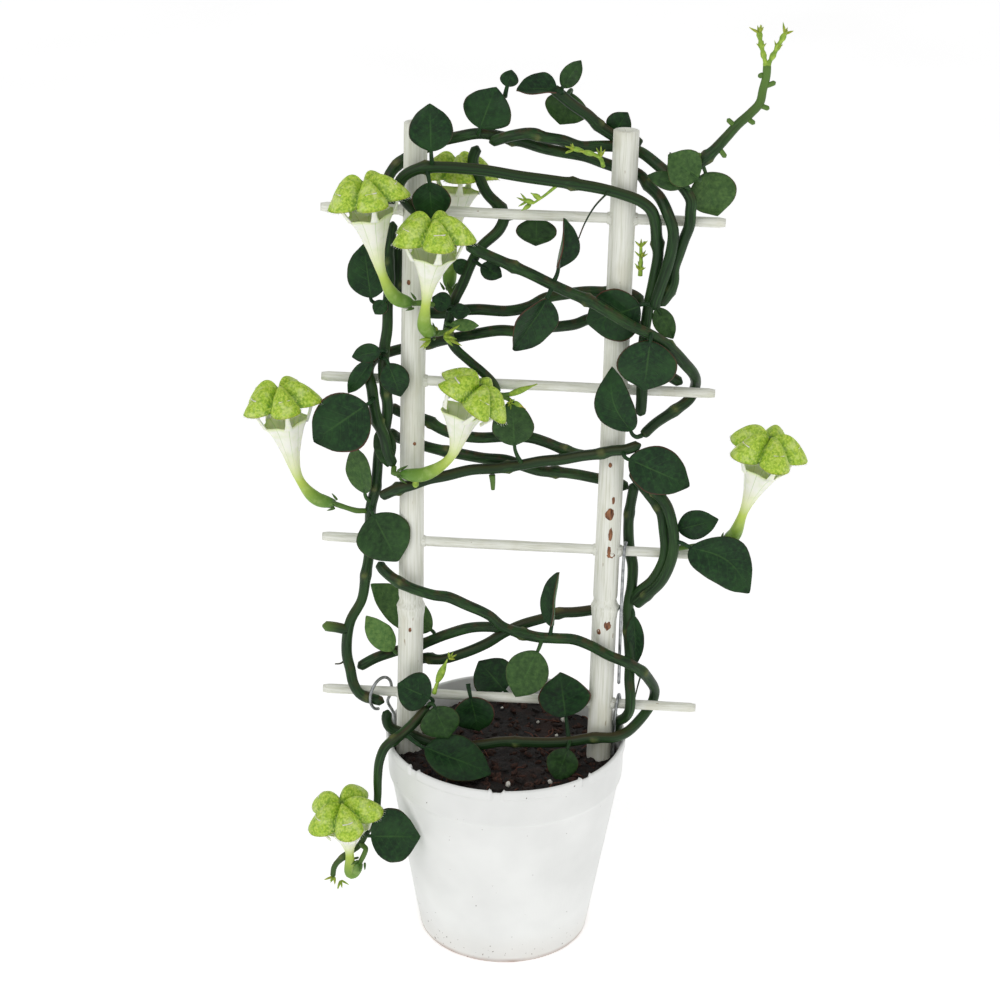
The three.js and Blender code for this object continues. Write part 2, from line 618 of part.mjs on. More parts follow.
plant.add(piece('pot', potGeometry(), FINISH.pot()));
plant.add(piece('soil', soilGeometry(pits), FINISH.soil()));
ladderFrame.add(piece('cane_left', caneGeometry(CANE.left), FINISH.cane()));
ladderFrame.add(piece('cane_right', caneGeometry(CANE.right), FINISH.cane()));
for (let i = 0; i < RUNG.count; i += 1) {
  ladderFrame.add(piece(`rung_${RUNG.count - i}`, rungGeometry(i), FINISH.cane()));
}
for (const [name, route] of Object.entries(CLIPS)) {
  ladderFrame.add(piece(name, tube(route, WIRE_RADIUS, 8, 3), FINISH.wire()));
}
for (const name of Object.keys(VINES)) {
  ladderFrame.add(piece(name, vineGeometry(name), FINISH.stem()));
}
for (const [name, leaf] of Object.entries(LEAVES)) {
  ladderFrame.add(piece(name, leafGeometry(leaf), FINISH.leaf()));
}
for (const [name, flower] of Object.entries(FLOWERS)) {
  ladderFrame.add(piece(name, flowerGeometry(flower), FINISH.flower()));
}

export default plant;
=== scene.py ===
"""A potted parachute plant on a white bamboo ladder trellis, in a white nursery pot.

Everything is in metres. Stems, leaves, flowers, canes, rungs and clips are written in the
ladder's own frame: x along the rungs, y front to back (the front is minus y), z up from the
foot of the pot. One matrix then leans and turns the ladder into the pot's frame.
"""

import math
import random

import bmesh
import bpy
from mathutils import Matrix, Vector, noise


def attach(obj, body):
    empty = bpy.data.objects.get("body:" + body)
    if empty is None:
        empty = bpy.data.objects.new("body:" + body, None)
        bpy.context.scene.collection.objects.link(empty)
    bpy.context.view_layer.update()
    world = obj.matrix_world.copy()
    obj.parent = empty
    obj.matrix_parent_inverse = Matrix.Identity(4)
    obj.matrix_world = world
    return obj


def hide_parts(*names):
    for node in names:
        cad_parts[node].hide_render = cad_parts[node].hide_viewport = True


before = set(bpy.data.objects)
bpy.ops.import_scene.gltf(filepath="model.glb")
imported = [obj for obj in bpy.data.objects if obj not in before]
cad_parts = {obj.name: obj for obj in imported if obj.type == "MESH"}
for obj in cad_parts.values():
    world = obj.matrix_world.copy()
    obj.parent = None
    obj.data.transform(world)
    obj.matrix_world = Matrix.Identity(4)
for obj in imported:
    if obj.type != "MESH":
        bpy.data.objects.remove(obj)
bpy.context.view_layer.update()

FRONT = Vector((0, -1, 0.3))
UP = Vector((0, 0, 1))
BODY = "root"


def ladder_matrix():
    pivot = Matrix.Translation((-0.001, -0.001, 0.1))
    turn = Matrix.Rotation(math.radians(-3.7), 4, "Z")
    lean_back = Matrix.Rotation(math.radians(-2.2), 4, "X")
    lean_right = Matrix.Rotation(math.radians(0.6), 4, "Y")
    return pivot @ turn @ lean_back @ lean_right @ Matrix.Translation((0, 0, -0.1))


LADDER = ladder_matrix()


# ---- materials ---------------------------------------------------------------------------


def linear(code, alpha=1.0):
    """An sRGB hex code such as '#2c4a26' as a linear colour."""
    parts = [int(code[i : i + 2], 16) / 255 for i in (1, 3, 5)]
    low = [p / 12.92 if p <= 0.04045 else ((p + 0.055) / 1.055) ** 2.4 for p in parts]
    return (*low, alpha)


def add(tree, kind, settings=None, **links):
    """Adds a node. settings are its own properties and fixed inputs, links are sockets fed to it."""
    node = tree.nodes.new(kind)
    for name, value in (settings or {}).items():
        if hasattr(node, name) and not name[0].isupper():
            setattr(node, name, value)
        else:
            node.inputs[int(name) if name.isdigit() else name].default_value = value
    for name, source in links.items():
        key = name.replace("_", " ")
        target = node.inputs[int(key[1:])] if key[0] == "i" and key[1:].isdigit() else node.inputs[key]
        tree.links.new(source, target)
    return node


def new_material(name):
    material = bpy.data.materials.new(name)
    material.use_nodes = True
    tree = material.node_tree
    return material, tree, tree.nodes["Principled BSDF"]


def ramp(tree, source, stops):
    """A colour ramp over source, with stops as (position, hex) pairs."""
    node = add(tree, "ShaderNodeValToRGB", Fac=source)
    while len(node.color_ramp.elements) < len(stops):
        node.color_ramp.elements.new(0.5)
    for element, (position, code) in zip(node.color_ramp.elements, stops):
        element.position = position
        element.color = linear(code)
    return node.outputs["Color"]


def grains(tree, place, per_metre, detail=2.0, rough=0.5):
    """Noise with about one blotch per 1 / per_metre metres, from 0 to 1."""
    made = {"Scale": per_metre, "Detail": detail, "Roughness": rough}
    return add(tree, "ShaderNodeTexNoise", made, Vector=place).outputs["Fac"]


def band(tree, source, low, high, smooth=True):
    """0 below low, 1 above high."""
    made = {"interpolation_type": "SMOOTHSTEP" if smooth else "LINEAR"}
    made.update({"From Min": low, "From Max": high})
    return add(tree, "ShaderNodeMapRange", made, Value=source).outputs["Result"]


def blend(tree, amount, first, second):
    """Mixes two colours, each a socket or a hex code, by amount, a socket or a number."""
    node = add(tree, "ShaderNodeMix", {"data_type": "RGBA"})
    for socket, value in ((node.inputs[6], first), (node.inputs[7], second)):
        if isinstance(value, str):
            socket.default_value = linear(value)
        else:
            tree.links.new(value, socket)
    if isinstance(amount, float):
        node.inputs[0].default_value = amount
    else:
        tree.links.new(amount, node.inputs[0])
    return node.outputs[2]


def math_node(tree, operation, first, second=0.0):
    node = add(tree, "ShaderNodeMath", {"operation": operation})
    for socket, value in ((node.inputs[0], first), (node.inputs[1], second)):
        if isinstance(value, (int, float)):
            socket.default_value = value
        else:
            tree.links.new(value, socket)
    return node.outputs[0]


def bumpy(tree, shader, height, distance, strength=1.0):
    made = {"Distance": distance, "Strength": strength}
    node = add(tree, "ShaderNodeBump", made, Height=height)
    tree.links.new(node.outputs["Normal"], shader.inputs["Normal"])


def spot(tree, name):
    """The three numbers that a mesh stores under name, apart and together."""
    made = add(tree, "ShaderNodeAttribute", {"attribute_name": name}).outputs["Vector"]
    apart = add(tree, "ShaderNodeSeparateXYZ", Vector=made)
    return made, apart.outputs["X"], apart.outputs["Y"], apart.outputs["Z"]


def place_of(tree):
    return add(tree, "ShaderNodeTexCoord").outputs["Object"]


def stretched(tree, place, x, y, z):
    return add(tree, "ShaderNodeMapping", {"Scale": (x, y, z)}, Vector=place).outputs["Vector"]


def polypropylene_moulded():
    """White polypropylene, injection moulded: a satin skin with faint flow marks, potting dirt
    in specks and a brown water line round the foot."""
    material, tree, shader = new_material("polypropylene_moulded")
    place = place_of(tree)
    height = add(tree, "ShaderNodeSeparateXYZ", Vector=place).outputs["Z"]
    cloud = grains(tree, place, 28, 3.0)
    colour = ramp(tree, cloud, [(0.35, "#e3e4e2"), (0.65, "#edeeec")])
    # Specks of soil 0.5 to 1 mm across, sparse, thicker near the foot.
    dots = grains(tree, place, 620, 1.0)
    near_foot = band(tree, height, 0.03, 0.0)
    limit = math_node(tree, "SUBTRACT", 0.79, math_node(tree, "MULTIPLY", near_foot, 0.07))
    over = math_node(tree, "SUBTRACT", dots, limit)
    specks = band(tree, over, 0.0, 0.025)
    colour = blend(tree, specks, colour, "#4b3b2f")
    # The water line: a brown smear in the lowest 3 mm, broken along the rim of the foot.
    smear = math_node(tree, "MULTIPLY", band(tree, height, 0.0035, 0.0006), grains(tree, place, 90, 3.0))
    colour = blend(tree, math_node(tree, "MULTIPLY", smear, 0.9), colour, "#8a5a44")
    haze = math_node(tree, "MULTIPLY", band(tree, height, 0.022, 0.0), grains(tree, place, 60, 3.0))
    colour = blend(tree, math_node(tree, "MULTIPLY", haze, 0.3), colour, "#b9a892")
    tree.links.new(colour, shader.inputs["Base Color"])
    shader.inputs["Roughness"].default_value = 0.42
    shader.inputs["IOR"].default_value = 1.49
    bumpy(tree, shader, grains(tree, stretched(tree, place, 1, 1, 0.3), 900, 2.0), 0.0001, 0.25)
    return material


def peat_and_bark():
    """Damp peat with composted bark: near-black crumbs with dark brown patches."""
    material, tree, shader = new_material("peat_and_bark")
    place = place_of(tree)
    crumbs = grains(tree, place, 420, 4.0, 0.65)
    colour = ramp(tree, crumbs, [(0.3, "#0a0706"), (0.52, "#17100d"), (0.72, "#2e1b14")])
    patches = band(tree, grains(tree, place, 70, 2.0), 0.52, 0.68)
    colour = blend(tree, math_node(tree, "MULTIPLY", patches, 0.5), colour, "#3a2118")
    tree.links.new(colour, shader.inputs["Base Color"])
    wet = add(tree, "ShaderNodeMapRange", {"To Min": 0.55, "To Max": 0.95}, Value=crumbs)
    tree.links.new(wet.outputs["Result"], shader.inputs["Roughness"])
    bumpy(tree, shader, grains(tree, place, 700, 4.0, 0.7), 0.0012, 0.9)
    return material


def bark_chip(name, dark, light):
    """Chips and fibres of bark, split along the grain, so they are streaked lengthwise."""
    material, tree, shader = new_material(name)
    place = place_of(tree)
    streak = grains(tree, stretched(tree, place, 1, 0.35, 1), 900, 3.0, 0.6)
    tree.links.new(ramp(tree, streak, [(0.35, dark), (0.68, light)]), shader.inputs["Base Color"])
    shader.inputs["Roughness"].default_value = 0.85
    bumpy(tree, shader, streak, 0.0004, 0.6)
    return material


def perlite_grain():
    """Expanded perlite: chalk-white glassy foam, rough and full of pits."""
    material, tree, shader = new_material("perlite_expanded")
    pits = grains(tree, place_of(tree), 1500, 3.0)
    tree.links.new(ramp(tree, pits, [(0.35, "#b9b5a8"), (0.6, "#f1efe8")]), shader.inputs["Base Color"])
    shader.inputs["Roughness"].default_value = 0.9
    bumpy(tree, shader, pits, 0.0003, 0.8)
    return material


def bamboo_painted():
    """Bamboo dipped in thin white paint: a satin cream-white skin with lengthwise fibre lines
    showing through, and faint runs and scuffs."""
    material, tree, shader = new_material("bamboo_painted_white")
    place, _, _, _ = spot(tree, "straight")
    # Fibre lines about 0.6 mm apart round the cane and 25 mm or more long.
    fibre = grains(tree, stretched(tree, place, 1, 1, 0.03), 1300, 3.0, 0.6)
    colour = ramp(tree, fibre, [(0.34, "#d3d4c4"), (0.5, "#e6e7dc"), (0.7, "#eff0e8")])
    cloud = grains(tree, stretched(tree, place, 1, 1, 0.4), 90, 3.0)
    colour = blend(tree, math_node(tree, "MULTIPLY", band(tree, cloud, 0.5, 0.72), 0.45), colour, "#cdcbb2")
    scuff = band(tree, grains(tree, stretched(tree, place, 1, 1, 0.25), 420, 2.0), 0.735, 0.765)
    colour = blend(tree, math_node(tree, "MULTIPLY", scuff, 0.8), colour, "#a08f74")
    tree.links.new(colour, shader.inputs["Base Color"])
    rough = add(tree, "ShaderNodeMapRange", {"To Min": 0.38, "To Max": 0.62}, Value=fibre)
    tree.links.new(rough.outputs["Result"], shader.inputs["Roughness"])
    shader.inputs["IOR"].default_value = 1.5
    bumpy(tree, shader, fibre, 0.00025, 0.7)
    return material


def bamboo_bare():
    """Bare bamboo where the paint has chipped off: red-brown, matt and fibrous."""
    material, tree, shader = new_material("bamboo_bare_split")
    fibre = grains(tree, stretched(tree, place_of(tree), 1, 1, 0.15), 1600, 3.0)
    tree.links.new(ramp(tree, fibre, [(0.35, "#5a3524"), (0.65, "#a5714c")]), shader.inputs["Base Color"])
    shader.inputs["Roughness"].default_value = 0.7
    bumpy(tree, shader, fibre, 0.0002, 0.6)
    return material


def steel_wire_galvanised():
    """Hot-dip galvanised wire: bright grey zinc, dulled in patches, with drawn lines along it."""
    material, tree, shader = new_material("steel_wire_galvanised")
    place, _, _, _ = spot(tree, "straight")
    drawn = grains(tree, stretched(tree, place, 1, 1, 0.05), 2600, 2.0)
    cloud = grains(tree, place_of(tree), 380, 2.0)
    tree.links.new(ramp(tree, cloud, [(0.35, "#85888a"), (0.65, "#b4b7b8")]), shader.inputs["Base Color"])
    shader.inputs["Metallic"].default_value = 1.0
    rough = add(tree, "ShaderNodeMapRange", {"To Min": 0.28, "To Max": 0.5}, Value=cloud)
    tree.links.new(rough.outputs["Result"], shader.inputs["Roughness"])
    bumpy(tree, shader, drawn, 0.00008, 0.5)
    return material


def living_stem():
    """Living succulent stem under a waxy cuticle: dark green, paler olive on the fuller side,
    with brown-red blush, corky scars and fine lengthwise lines."""
    material, tree, shader = new_material("stem_living_waxy")
    place, _, _, _ = spot(tree, "straight")
    _, age, scar, blush = spot(tree, "tone")
    lines = grains(tree, stretched(tree, place, 1, 1, 0.06), 1500, 3.0, 0.6)
    colour = ramp(tree, lines, [(0.3, "#122410"), (0.5, "#1d371a"), (0.72, "#2f5226")])
    cloud = grains(tree, stretched(tree, place, 1, 1, 0.25), 110, 3.0)
    colour = blend(tree, math_node(tree, "MULTIPLY", band(tree, cloud, 0.48, 0.7), 0.5), colour, "#3a6128")
    red = math_node(tree, "MULTIPLY", blush, band(tree, grains(tree, place, 160, 3.0), 0.42, 0.66))
    colour = blend(tree, math_node(tree, "MULTIPLY", red, 0.75), colour, "#4b3a26")
    colour = blend(tree, age, colour, "#6f9440")
    colour = blend(tree, scar, colour, "#8f9153")
    tree.links.new(colour, shader.inputs["Base Color"])
    rough = add(tree, "ShaderNodeMapRange", {"To Min": 0.34, "To Max": 0.55}, Value=lines)
    tree.links.new(rough.outputs["Result"], shader.inputs["Roughness"])
    shader.inputs["IOR"].default_value = 1.45
    shader.inputs["Specular IOR Level"].default_value = 0.3
    bumpy(tree, shader, grains(tree, stretched(tree, place, 1, 1, 0.12), 1100, 3.0), 0.0003, 0.5)
    return material


def living_leaf():
    """Fleshy leaf under a waxy cuticle: deep green and softly glossy above, paler below, with a
    light midrib, faint side veins, fine mottling and a thin red-brown margin."""
    material, tree, shader = new_material("leaf_living_waxy")
    _, across, along, _ = spot(tree, "blade")
    _, upper, light, blush = spot(tree, "tone")
    place = place_of(tree)
    mottle = grains(tree, place, 480, 3.0, 0.6)
    colour = ramp(tree, mottle, [(0.3, "#0f2412"), (0.52, "#17351a"), (0.75, "#244a20")])
    cloud = grains(tree, place, 70, 2.0)
    colour = blend(tree, math_node(tree, "MULTIPLY", band(tree, cloud, 0.42, 0.72), 0.45), colour, "#2a4f24")
    colour = blend(tree, light, colour, ramp(tree, mottle, [(0.3, "#4f7a3a"), (0.7, "#7da255")]))
    below = ramp(tree, mottle, [(0.3, "#2f5228"), (0.7, "#446a34")])
    colour = blend(tree, math_node(tree, "SUBTRACT", 1.0, upper), colour, below)
    off = math_node(tree, "ABSOLUTE", across)
    rib = math_node(tree, "MULTIPLY", band(tree, off, 0.055, 0.0), band(tree, along, 1.0, 0.4))
    colour = blend(tree, math_node(tree, "MULTIPLY", rib, 0.3), colour, "#4f7a3a")
    # Side veins leave the midrib every 4 to 5 mm and sweep forward.
    sweep = math_node(tree, "SUBTRACT", along, math_node(tree, "MULTIPLY", off, 0.3))
    wave = math_node(tree, "SINE", math_node(tree, "MULTIPLY", sweep, 42.0))
    vein = math_node(tree, "MULTIPLY", band(tree, wave, 0.86, 1.0), band(tree, off, 0.9, 0.2))
    colour = blend(tree, math_node(tree, "MULTIPLY", vein, 0.14), colour, "#3f6a32")
    edge = math_node(tree, "MULTIPLY", band(tree, off, 0.93, 0.99), blush)
    colour = blend(tree, edge, colour, "#5a2f27")
    tree.links.new(colour, shader.inputs["Base Color"])
    rough = add(tree, "ShaderNodeMapRange", {"To Min": 0.36, "To Max": 0.56}, Value=mottle)
    tree.links.new(rough.outputs["Result"], shader.inputs["Roughness"])
    shader.inputs["IOR"].default_value = 1.45
    shader.inputs["Specular IOR Level"].default_value = 0.25
    sunk = math_node(tree, "MULTIPLY", vein, 0.6)
    lift = math_node(tree, "SUBTRACT", math_node(tree, "MULTIPLY", mottle, 0.5), sunk)
    bumpy(tree, shader, lift, 0.0004, 0.55)
    return material


def petal_canopy():
    """Thin, slightly translucent petal of the umbrella: lime green, stippled with darker green,
    with paler patches along each lobe and dark in the notches between the lobes, partly the
    petal's own deeper green and partly painted shade in the creases."""
    material, tree, shader = new_material("petal_canopy_stippled")
    _, _, outward, fold = spot(tree, "petal")
    place = place_of(tree)
    stipple = grains(tree, place, 900, 2.0, 0.6)
    colour = ramp(tree, stipple, [(0.36, "#86ad2b"), (0.5, "#acc93a"), (0.66, "#c6da5c")])
    patches = grains(tree, place, 210, 3.0, 0.6)
    pale = math_node(tree, "MULTIPLY", band(tree, patches, 0.46, 0.68), band(tree, outward, 0.15, 0.6))
    colour = blend(tree, math_node(tree, "MULTIPLY", pale, 0.5), colour, "#dce79a")
    # Darker green in the notches between the lobes: partly the thicker tissue's own colour, partly painted shade
    # in the creases.
    dark = math_node(tree, "MULTIPLY", fold, band(tree, stipple, 0.7, 0.4))
    colour = blend(tree, math_node(tree, "MULTIPLY", dark, 0.9), colour, "#5f8d26")
    middle = band(tree, outward, 0.14, 0.02)
    colour = blend(tree, math_node(tree, "MULTIPLY", middle, 0.9), colour, "#4c6f22")
    tree.links.new(colour, shader.inputs["Base Color"])
    shader.inputs["Roughness"].default_value = 0.5
    shader.inputs["IOR"].default_value = 1.42
    shader.inputs["Subsurface Weight"].default_value = 0.25
    shader.inputs["Subsurface Radius"].default_value = (0.4, 0.6, 0.12)
    shader.inputs["Subsurface Scale"].default_value = 0.002
    bumpy(tree, shader, patches, 0.0003, 0.25)
    return material


def petal_funnel():
    """Thin petal of the tube and funnel: milky white above with pale green veins, turning
    yellow-green and then leaf green down to the swollen base."""
    material, tree, shader = new_material("petal_funnel_veined")
    _, around, along, _ = spot(tree, "petal")
    place = place_of(tree)
    colour = ramp(
        tree,
        along,
        [(0.0, "#4f7d2c"), (0.22, "#7da03a"), (0.42, "#b7cc57"), (0.58, "#e2e9b8"), (0.78, "#f1f3e4")],
    )
    ridge = math_node(tree, "ABSOLUTE", math_node(tree, "SINE", math_node(tree, "MULTIPLY", around, 5.0)))
    vein = math_node(tree, "MULTIPLY", band(tree, ridge, 0.16, 0.0), band(tree, along, 0.45, 0.7))
    colour = blend(tree, math_node(tree, "MULTIPLY", vein, 0.65), colour, "#a9c677")
    rim = band(tree, along, 0.955, 1.0)
    colour = blend(tree, math_node(tree, "MULTIPLY", rim, 0.6), colour, "#c7da7a")
    haze = band(tree, grains(tree, place, 260, 3.0), 0.45, 0.7)
    colour = blend(tree, math_node(tree, "MULTIPLY", haze, 0.22), colour, "#c5d88f")
    tree.links.new(colour, shader.inputs["Base Color"])
    shader.inputs["Roughness"].default_value = 0.45
    shader.inputs["IOR"].default_value = 1.42
    shader.inputs["Subsurface Weight"].default_value = 0.25
    shader.inputs["Subsurface Radius"].default_value = (0.5, 0.6, 0.25)
    shader.inputs["Subsurface Scale"].default_value = 0.002
    bumpy(tree, shader, grains(tree, place, 500, 2.0), 0.0003, 0.4)
    return material


def young_shoot():
    """Soft new growth: buds, bracts and flower stalks in bright yellow-green."""
    material, tree, shader = new_material("shoot_young_soft")
    place = place_of(tree)
    _, _, tip, _ = spot(tree, "tone")
    mottle = grains(tree, place, 500, 3.0)
    colour = ramp(tree, mottle, [(0.3, "#6c8f2e"), (0.55, "#8fb03b"), (0.75, "#b3cb55")])
    colour = blend(tree, tip, colour, "#d8b53a")
    tree.links.new(colour, shader.inputs["Base Color"])
    shader.inputs["Roughness"].default_value = 0.5
    shader.inputs["IOR"].default_value = 1.42
    bumpy(tree, shader, mottle, 0.0003, 0.4)
    return material


def floor_paper():
    """Matt white background paper, evenly lit."""
    material, tree, shader = new_material("paper_backdrop_matt")
    tone = grains(tree, place_of(tree), 3, 1.0)
    tree.links.new(ramp(tree, tone, [(0.3, "#fafafa"), (0.7, "#ffffff")]), shader.inputs["Base Color"])
    shader.inputs["Roughness"].default_value = 0.95
    shader.inputs["Emission Color"].default_value = linear("#ffffff")
    shader.inputs["Emission Strength"].default_value = 0.4
    return material


WHITE_PP = polypropylene_moulded()
PEAT = peat_and_bark()
BARK = bark_chip("bark_chip_split", "#1c0f0a", "#4a2a1c")
FIBRE = bark_chip("coir_fibre", "#45231a", "#764530")
PERLITE = perlite_grain()
CANE_PAINT = bamboo_painted()
BARE_CANE = bamboo_bare()
ZINC_WIRE = steel_wire_galvanised()
STEM_SKIN = living_stem()
LEAF_SKIN = living_leaf()
CANOPY_SKIN = petal_canopy()
FUNNEL_SKIN = petal_funnel()
YOUNG_SKIN = young_shoot()


# ---- building meshes ---------------------------------------------------------------------


class Shell:
    """The points, faces and stored numbers of one piece while it is built."""

    def __init__(self, *skins):
        self.skins = skins
        self.points = []
        self.faces = []
        self.skin_of = []
        self.stored = {}

    def point(self, place, **numbers):
        for name, value in numbers.items():
            self.stored.setdefault(name, {})[len(self.points)] = value
        self.points.append(Vector(place))
        return len(self.points) - 1

    def face(self, corners, skin=0):
        self.faces.append(corners)
        self.skin_of.append(skin)

    def join(self, rings, skin=0, closed=True, caps=True):
        """Joins rings of point numbers, each to the next, and caps the two ends."""
        count = len(rings[0])
        for low, high in zip(rings, rings[1:]):
            for i in range(count if closed else count - 1):
                j = (i + 1) % count
                self.face((low[i], low[j], high[j], high[i]), skin)
        if caps:
            self.face(tuple(reversed(rings[0])), skin)
            self.face(tuple(rings[-1]), skin)

    def piece(self, name, slot, matrix=None, replaces=(), smooth=True):
        mesh = bpy.data.meshes.new(name)
        move = matrix or Matrix.Identity(4)
        mesh.from_pydata([move @ p for p in self.points], [], self.faces)
        for skin in self.skins:
            mesh.materials.append(skin)
        mesh.polygons.foreach_set("material_index", self.skin_of)
        mesh.polygons.foreach_set("use_smooth", [smooth] * len(self.faces))
        for attribute, numbers in self.stored.items():
            made = mesh.attributes.new(attribute, "FLOAT_VECTOR", "POINT")
            for i in range(len(self.points)):
                made.data[i].vector = numbers.get(i, (0, 0, 0))
        mesh.update()
        piece = bpy.data.objects.new(name, mesh)
        bpy.context.scene.collection.objects.link(piece)
        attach(piece, BODY)
        if replaces:
            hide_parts(*replaces)
        return piece


def smoothstep(low, high, value):
    t = min(1.0, max(0.0, (value - low) / (high - low)))
    return t * t * (3 - 2 * t)


def wobble(x, y=0.0, z=0.0):
    """Smooth noise from -1 to 1 that is the same each run."""
    return noise.noise(Vector((x, y, z)))


def smooth_route(route, step):
    """Points about step apart on a smooth curve through the route's points."""
    knots = [Vector(p) for p in route]
    knots = [2 * knots[0] - knots[1], *knots, 2 * knots[-1] - knots[-2]]
    points = []
    for a, b, c, d in zip(knots, knots[1:], knots[2:], knots[3:]):
        t1 = math.sqrt((b - a).length)
        t2 = t1 + math.sqrt((c - b).length)
        t3 = t2 + math.sqrt((d - c).length)
        count = max(1, round((c - b).length / step))
        for i in range(count):
            t = t1 + (t2 - t1) * i / count
            ab = a.lerp(b, t / t1)
            bc = b.lerp(c, (t - t1) / (t2 - t1))
            cd = c.lerp(d, (t - t2) / (t3 - t2))
            points.append(ab.lerp(bc, t / t2).lerp(bc.lerp(cd, (t - t1) / (t3 - t1)), (t - t1) / (t2 - t1)))
    points.append(knots[-2])
    return points


def frames_along(points, side=None):
    """For each point: its distance from the first, the direction of travel and two sides."""
    travel = (points[1] - points[0]).normalized()
    side = side or (Vector((0, -1, 0)) if abs(travel.y) < 0.9 else Vector((1, 0, 0)))
    gone = 0.0
    frames = []
    for i, here in enumerate(points):
        behind = points[max(0, i - 1)]
        ahead = points[min(len(points) - 1, i + 1)]
        travel = (ahead - behind).normalized()
        side = (side - travel * side.dot(travel)).normalized()
        gone += (here - behind).length
        frames.append((gone, travel, side, travel.cross(side)))
    return frames


def bar(shell, points, radius_at, sides=12, skin=0, side=None, tone=None, caps=True):
    """A bar along points. radius_at gives one radius, or two across and deep, from the distance
    gone and the angle round the bar. tone gives the numbers stored beside its unrolled place."""
    rings = []
    for here, (gone, travel, across, deep) in zip(points, frames_along(points, side)):
        ring = []
        for i in range(sides):
            angle = 2 * math.pi * i / sides
            size = radius_at(gone, angle)
            wide, thick = size if isinstance(size, tuple) else (size, size)
            out = across * math.cos(angle) * wide + deep * math.sin(angle) * thick
            numbers = {"straight": (math.cos(angle) * wide, math.sin(angle) * wide, gone + here.x)}
            numbers.update(tone(gone, angle, out) if tone else {})
            ring.append(shell.point(here + out, **numbers))
        rings.append(ring)
    shell.join(rings, skin, caps=caps)
    return rings


def round_ends(length, radius, gone):
    """A factor that rounds off both ends of a bar."""
    near = min(gone, length - gone)
    return math.sqrt(max(0.04, 1 - max(0.0, 1 - near / radius) ** 2)) if radius > 0 else 1.0


def route_length(points):
    return sum((b - a).length for a, b in zip(points, points[1:]))


def blob(shell, centre, size, turn, seed, skin=0, rings=5, sides=7, rough=0.25, **numbers):
    """An irregular lump of about size across, deep and high."""
    made = []
    for j in range(rings + 1):
        tilt = math.pi * (j + 0.25) / (rings + 0.5)
        ring = []
        for i in range(sides):
            angle = 2 * math.pi * i / sides
            out = Vector((math.sin(tilt) * math.cos(angle), math.sin(tilt) * math.sin(angle), math.cos(tilt)))
            grow = 1 + rough * wobble(*(out * 1.7 + Vector((seed, seed * 0.7, 0))))
            out = Vector((out.x * size[0], out.y * size[1], out.z * size[2])) * grow / 2
            ring.append(shell.point(Vector(centre) + turn @ out, **numbers))
        made.append(ring)
    shell.join([list(reversed(r)) for r in made], skin)


# ---- pot ---------------------------------------------------------------------------------

RIM_RADIUS = 0.060
POT_HEIGHT = 0.110
WALL = 0.0012
BAND_START = 0.089
LIP_START = 0.1045
GAP_EVERY = math.radians(45)
GAP_HALF = math.radians(2.6)
GAP_FIRST = math.radians(-94)
POT_SIDES = 480


def pot_wall_radius(height):
    return 0.043 + 0.0147 * min(1.0, height / BAND_START)


def lip_gap(angle):
    """1 in the middle of a gap in the lip, 0 away from it."""
    off = (angle - GAP_FIRST + GAP_EVERY / 2) % GAP_EVERY - GAP_EVERY / 2
    return 1 - smoothstep(GAP_HALF * 0.8, GAP_HALF * 1.05, abs(off))


def lip_tab(angle):
    """1 on the two small stacking tabs at the sides of each gap, 0 away from them."""
    off = (angle - GAP_FIRST + GAP_EVERY / 2) % GAP_EVERY - GAP_EVERY / 2
    return 1 - smoothstep(0.25, 0.5, abs(abs(off) / GAP_HALF - 1.25) * 2)


def pot_profile(angle):
    gap = lip_gap(angle)
    tab = lip_tab(angle)
    lip = 0.0598 - 0.0008 * gap + 0.0002 * tab
    top = POT_HEIGHT - 0.0006 - 0.0012 * gap + 0.0006 * tab
    soft = 0.0009 * (1 - tab)
    outside = [(0.0, 0.0), (0.0185, 0.0), (0.0194, 0.0004), (0.021, 0.003), (0.0395, 0.003)]
    outside += [(0.0406, 0.0005), (0.0412, 0.0), (0.0424, 0.0), (0.0429, 0.0004), (0.0432, 0.0014)]
    outside += [(pot_wall_radius(z / 1000), z / 1000) for z in (12, 25, 38, 51, 64, 77, 86, 88)]
    outside += [(0.0581, 0.0888), (0.0587, 0.0894), (0.0588, 0.0905), (0.0589, 0.097)]
    outside += [(0.059, 0.1038), (0.0591, LIP_START), (lip, LIP_START + 0.0003), (lip, LIP_START + 0.001)]
    rim = [(lip, top - soft), (lip - 0.0003, top - soft * 0.4), (lip - 0.0008, top), (0.0586, top)]
    rim += [(0.058, top - soft * 0.4), (0.0578, top - soft)]
    inside = [(0.0577, LIP_START), (0.0575, 0.091), (0.0566, 0.0892)]
    inside += [(pot_wall_radius(z / 1000) - WALL, z / 1000) for z in (86, 60, 30, 4.5)]
    inside += [(0.02, 0.0045), (0.018, 0.0015), (0.0, 0.0015)]
    return outside + rim + inside


def drain_holes():
    """Eight round pegs that cut the drain holes in the pot's underside."""
    pegs = bmesh.new()
    for i in range(8):
        angle = (i + 0.5) * math.pi / 4
        place = Matrix.Translation((0.031 * math.cos(angle), 0.031 * math.sin(angle), 0.004))
        bmesh.ops.create_cone(
            pegs, cap_ends=True, segments=24, radius1=0.004, radius2=0.004, depth=0.012, matrix=place
        )
    mesh = bpy.data.meshes.new("drain_hole_pegs")
    pegs.to_mesh(mesh)
    pegs.free()
    return bpy.data.objects.new("drain_hole_pegs", mesh)


def keep_modifiers(piece):
    """Makes the piece's modifiers part of its mesh."""
    bpy.context.view_layer.update()
    graph = bpy.context.evaluated_depsgraph_get()
    made = bpy.data.meshes.new_from_object(piece.evaluated_get(graph))
    piece.modifiers.clear()
    piece.data = made


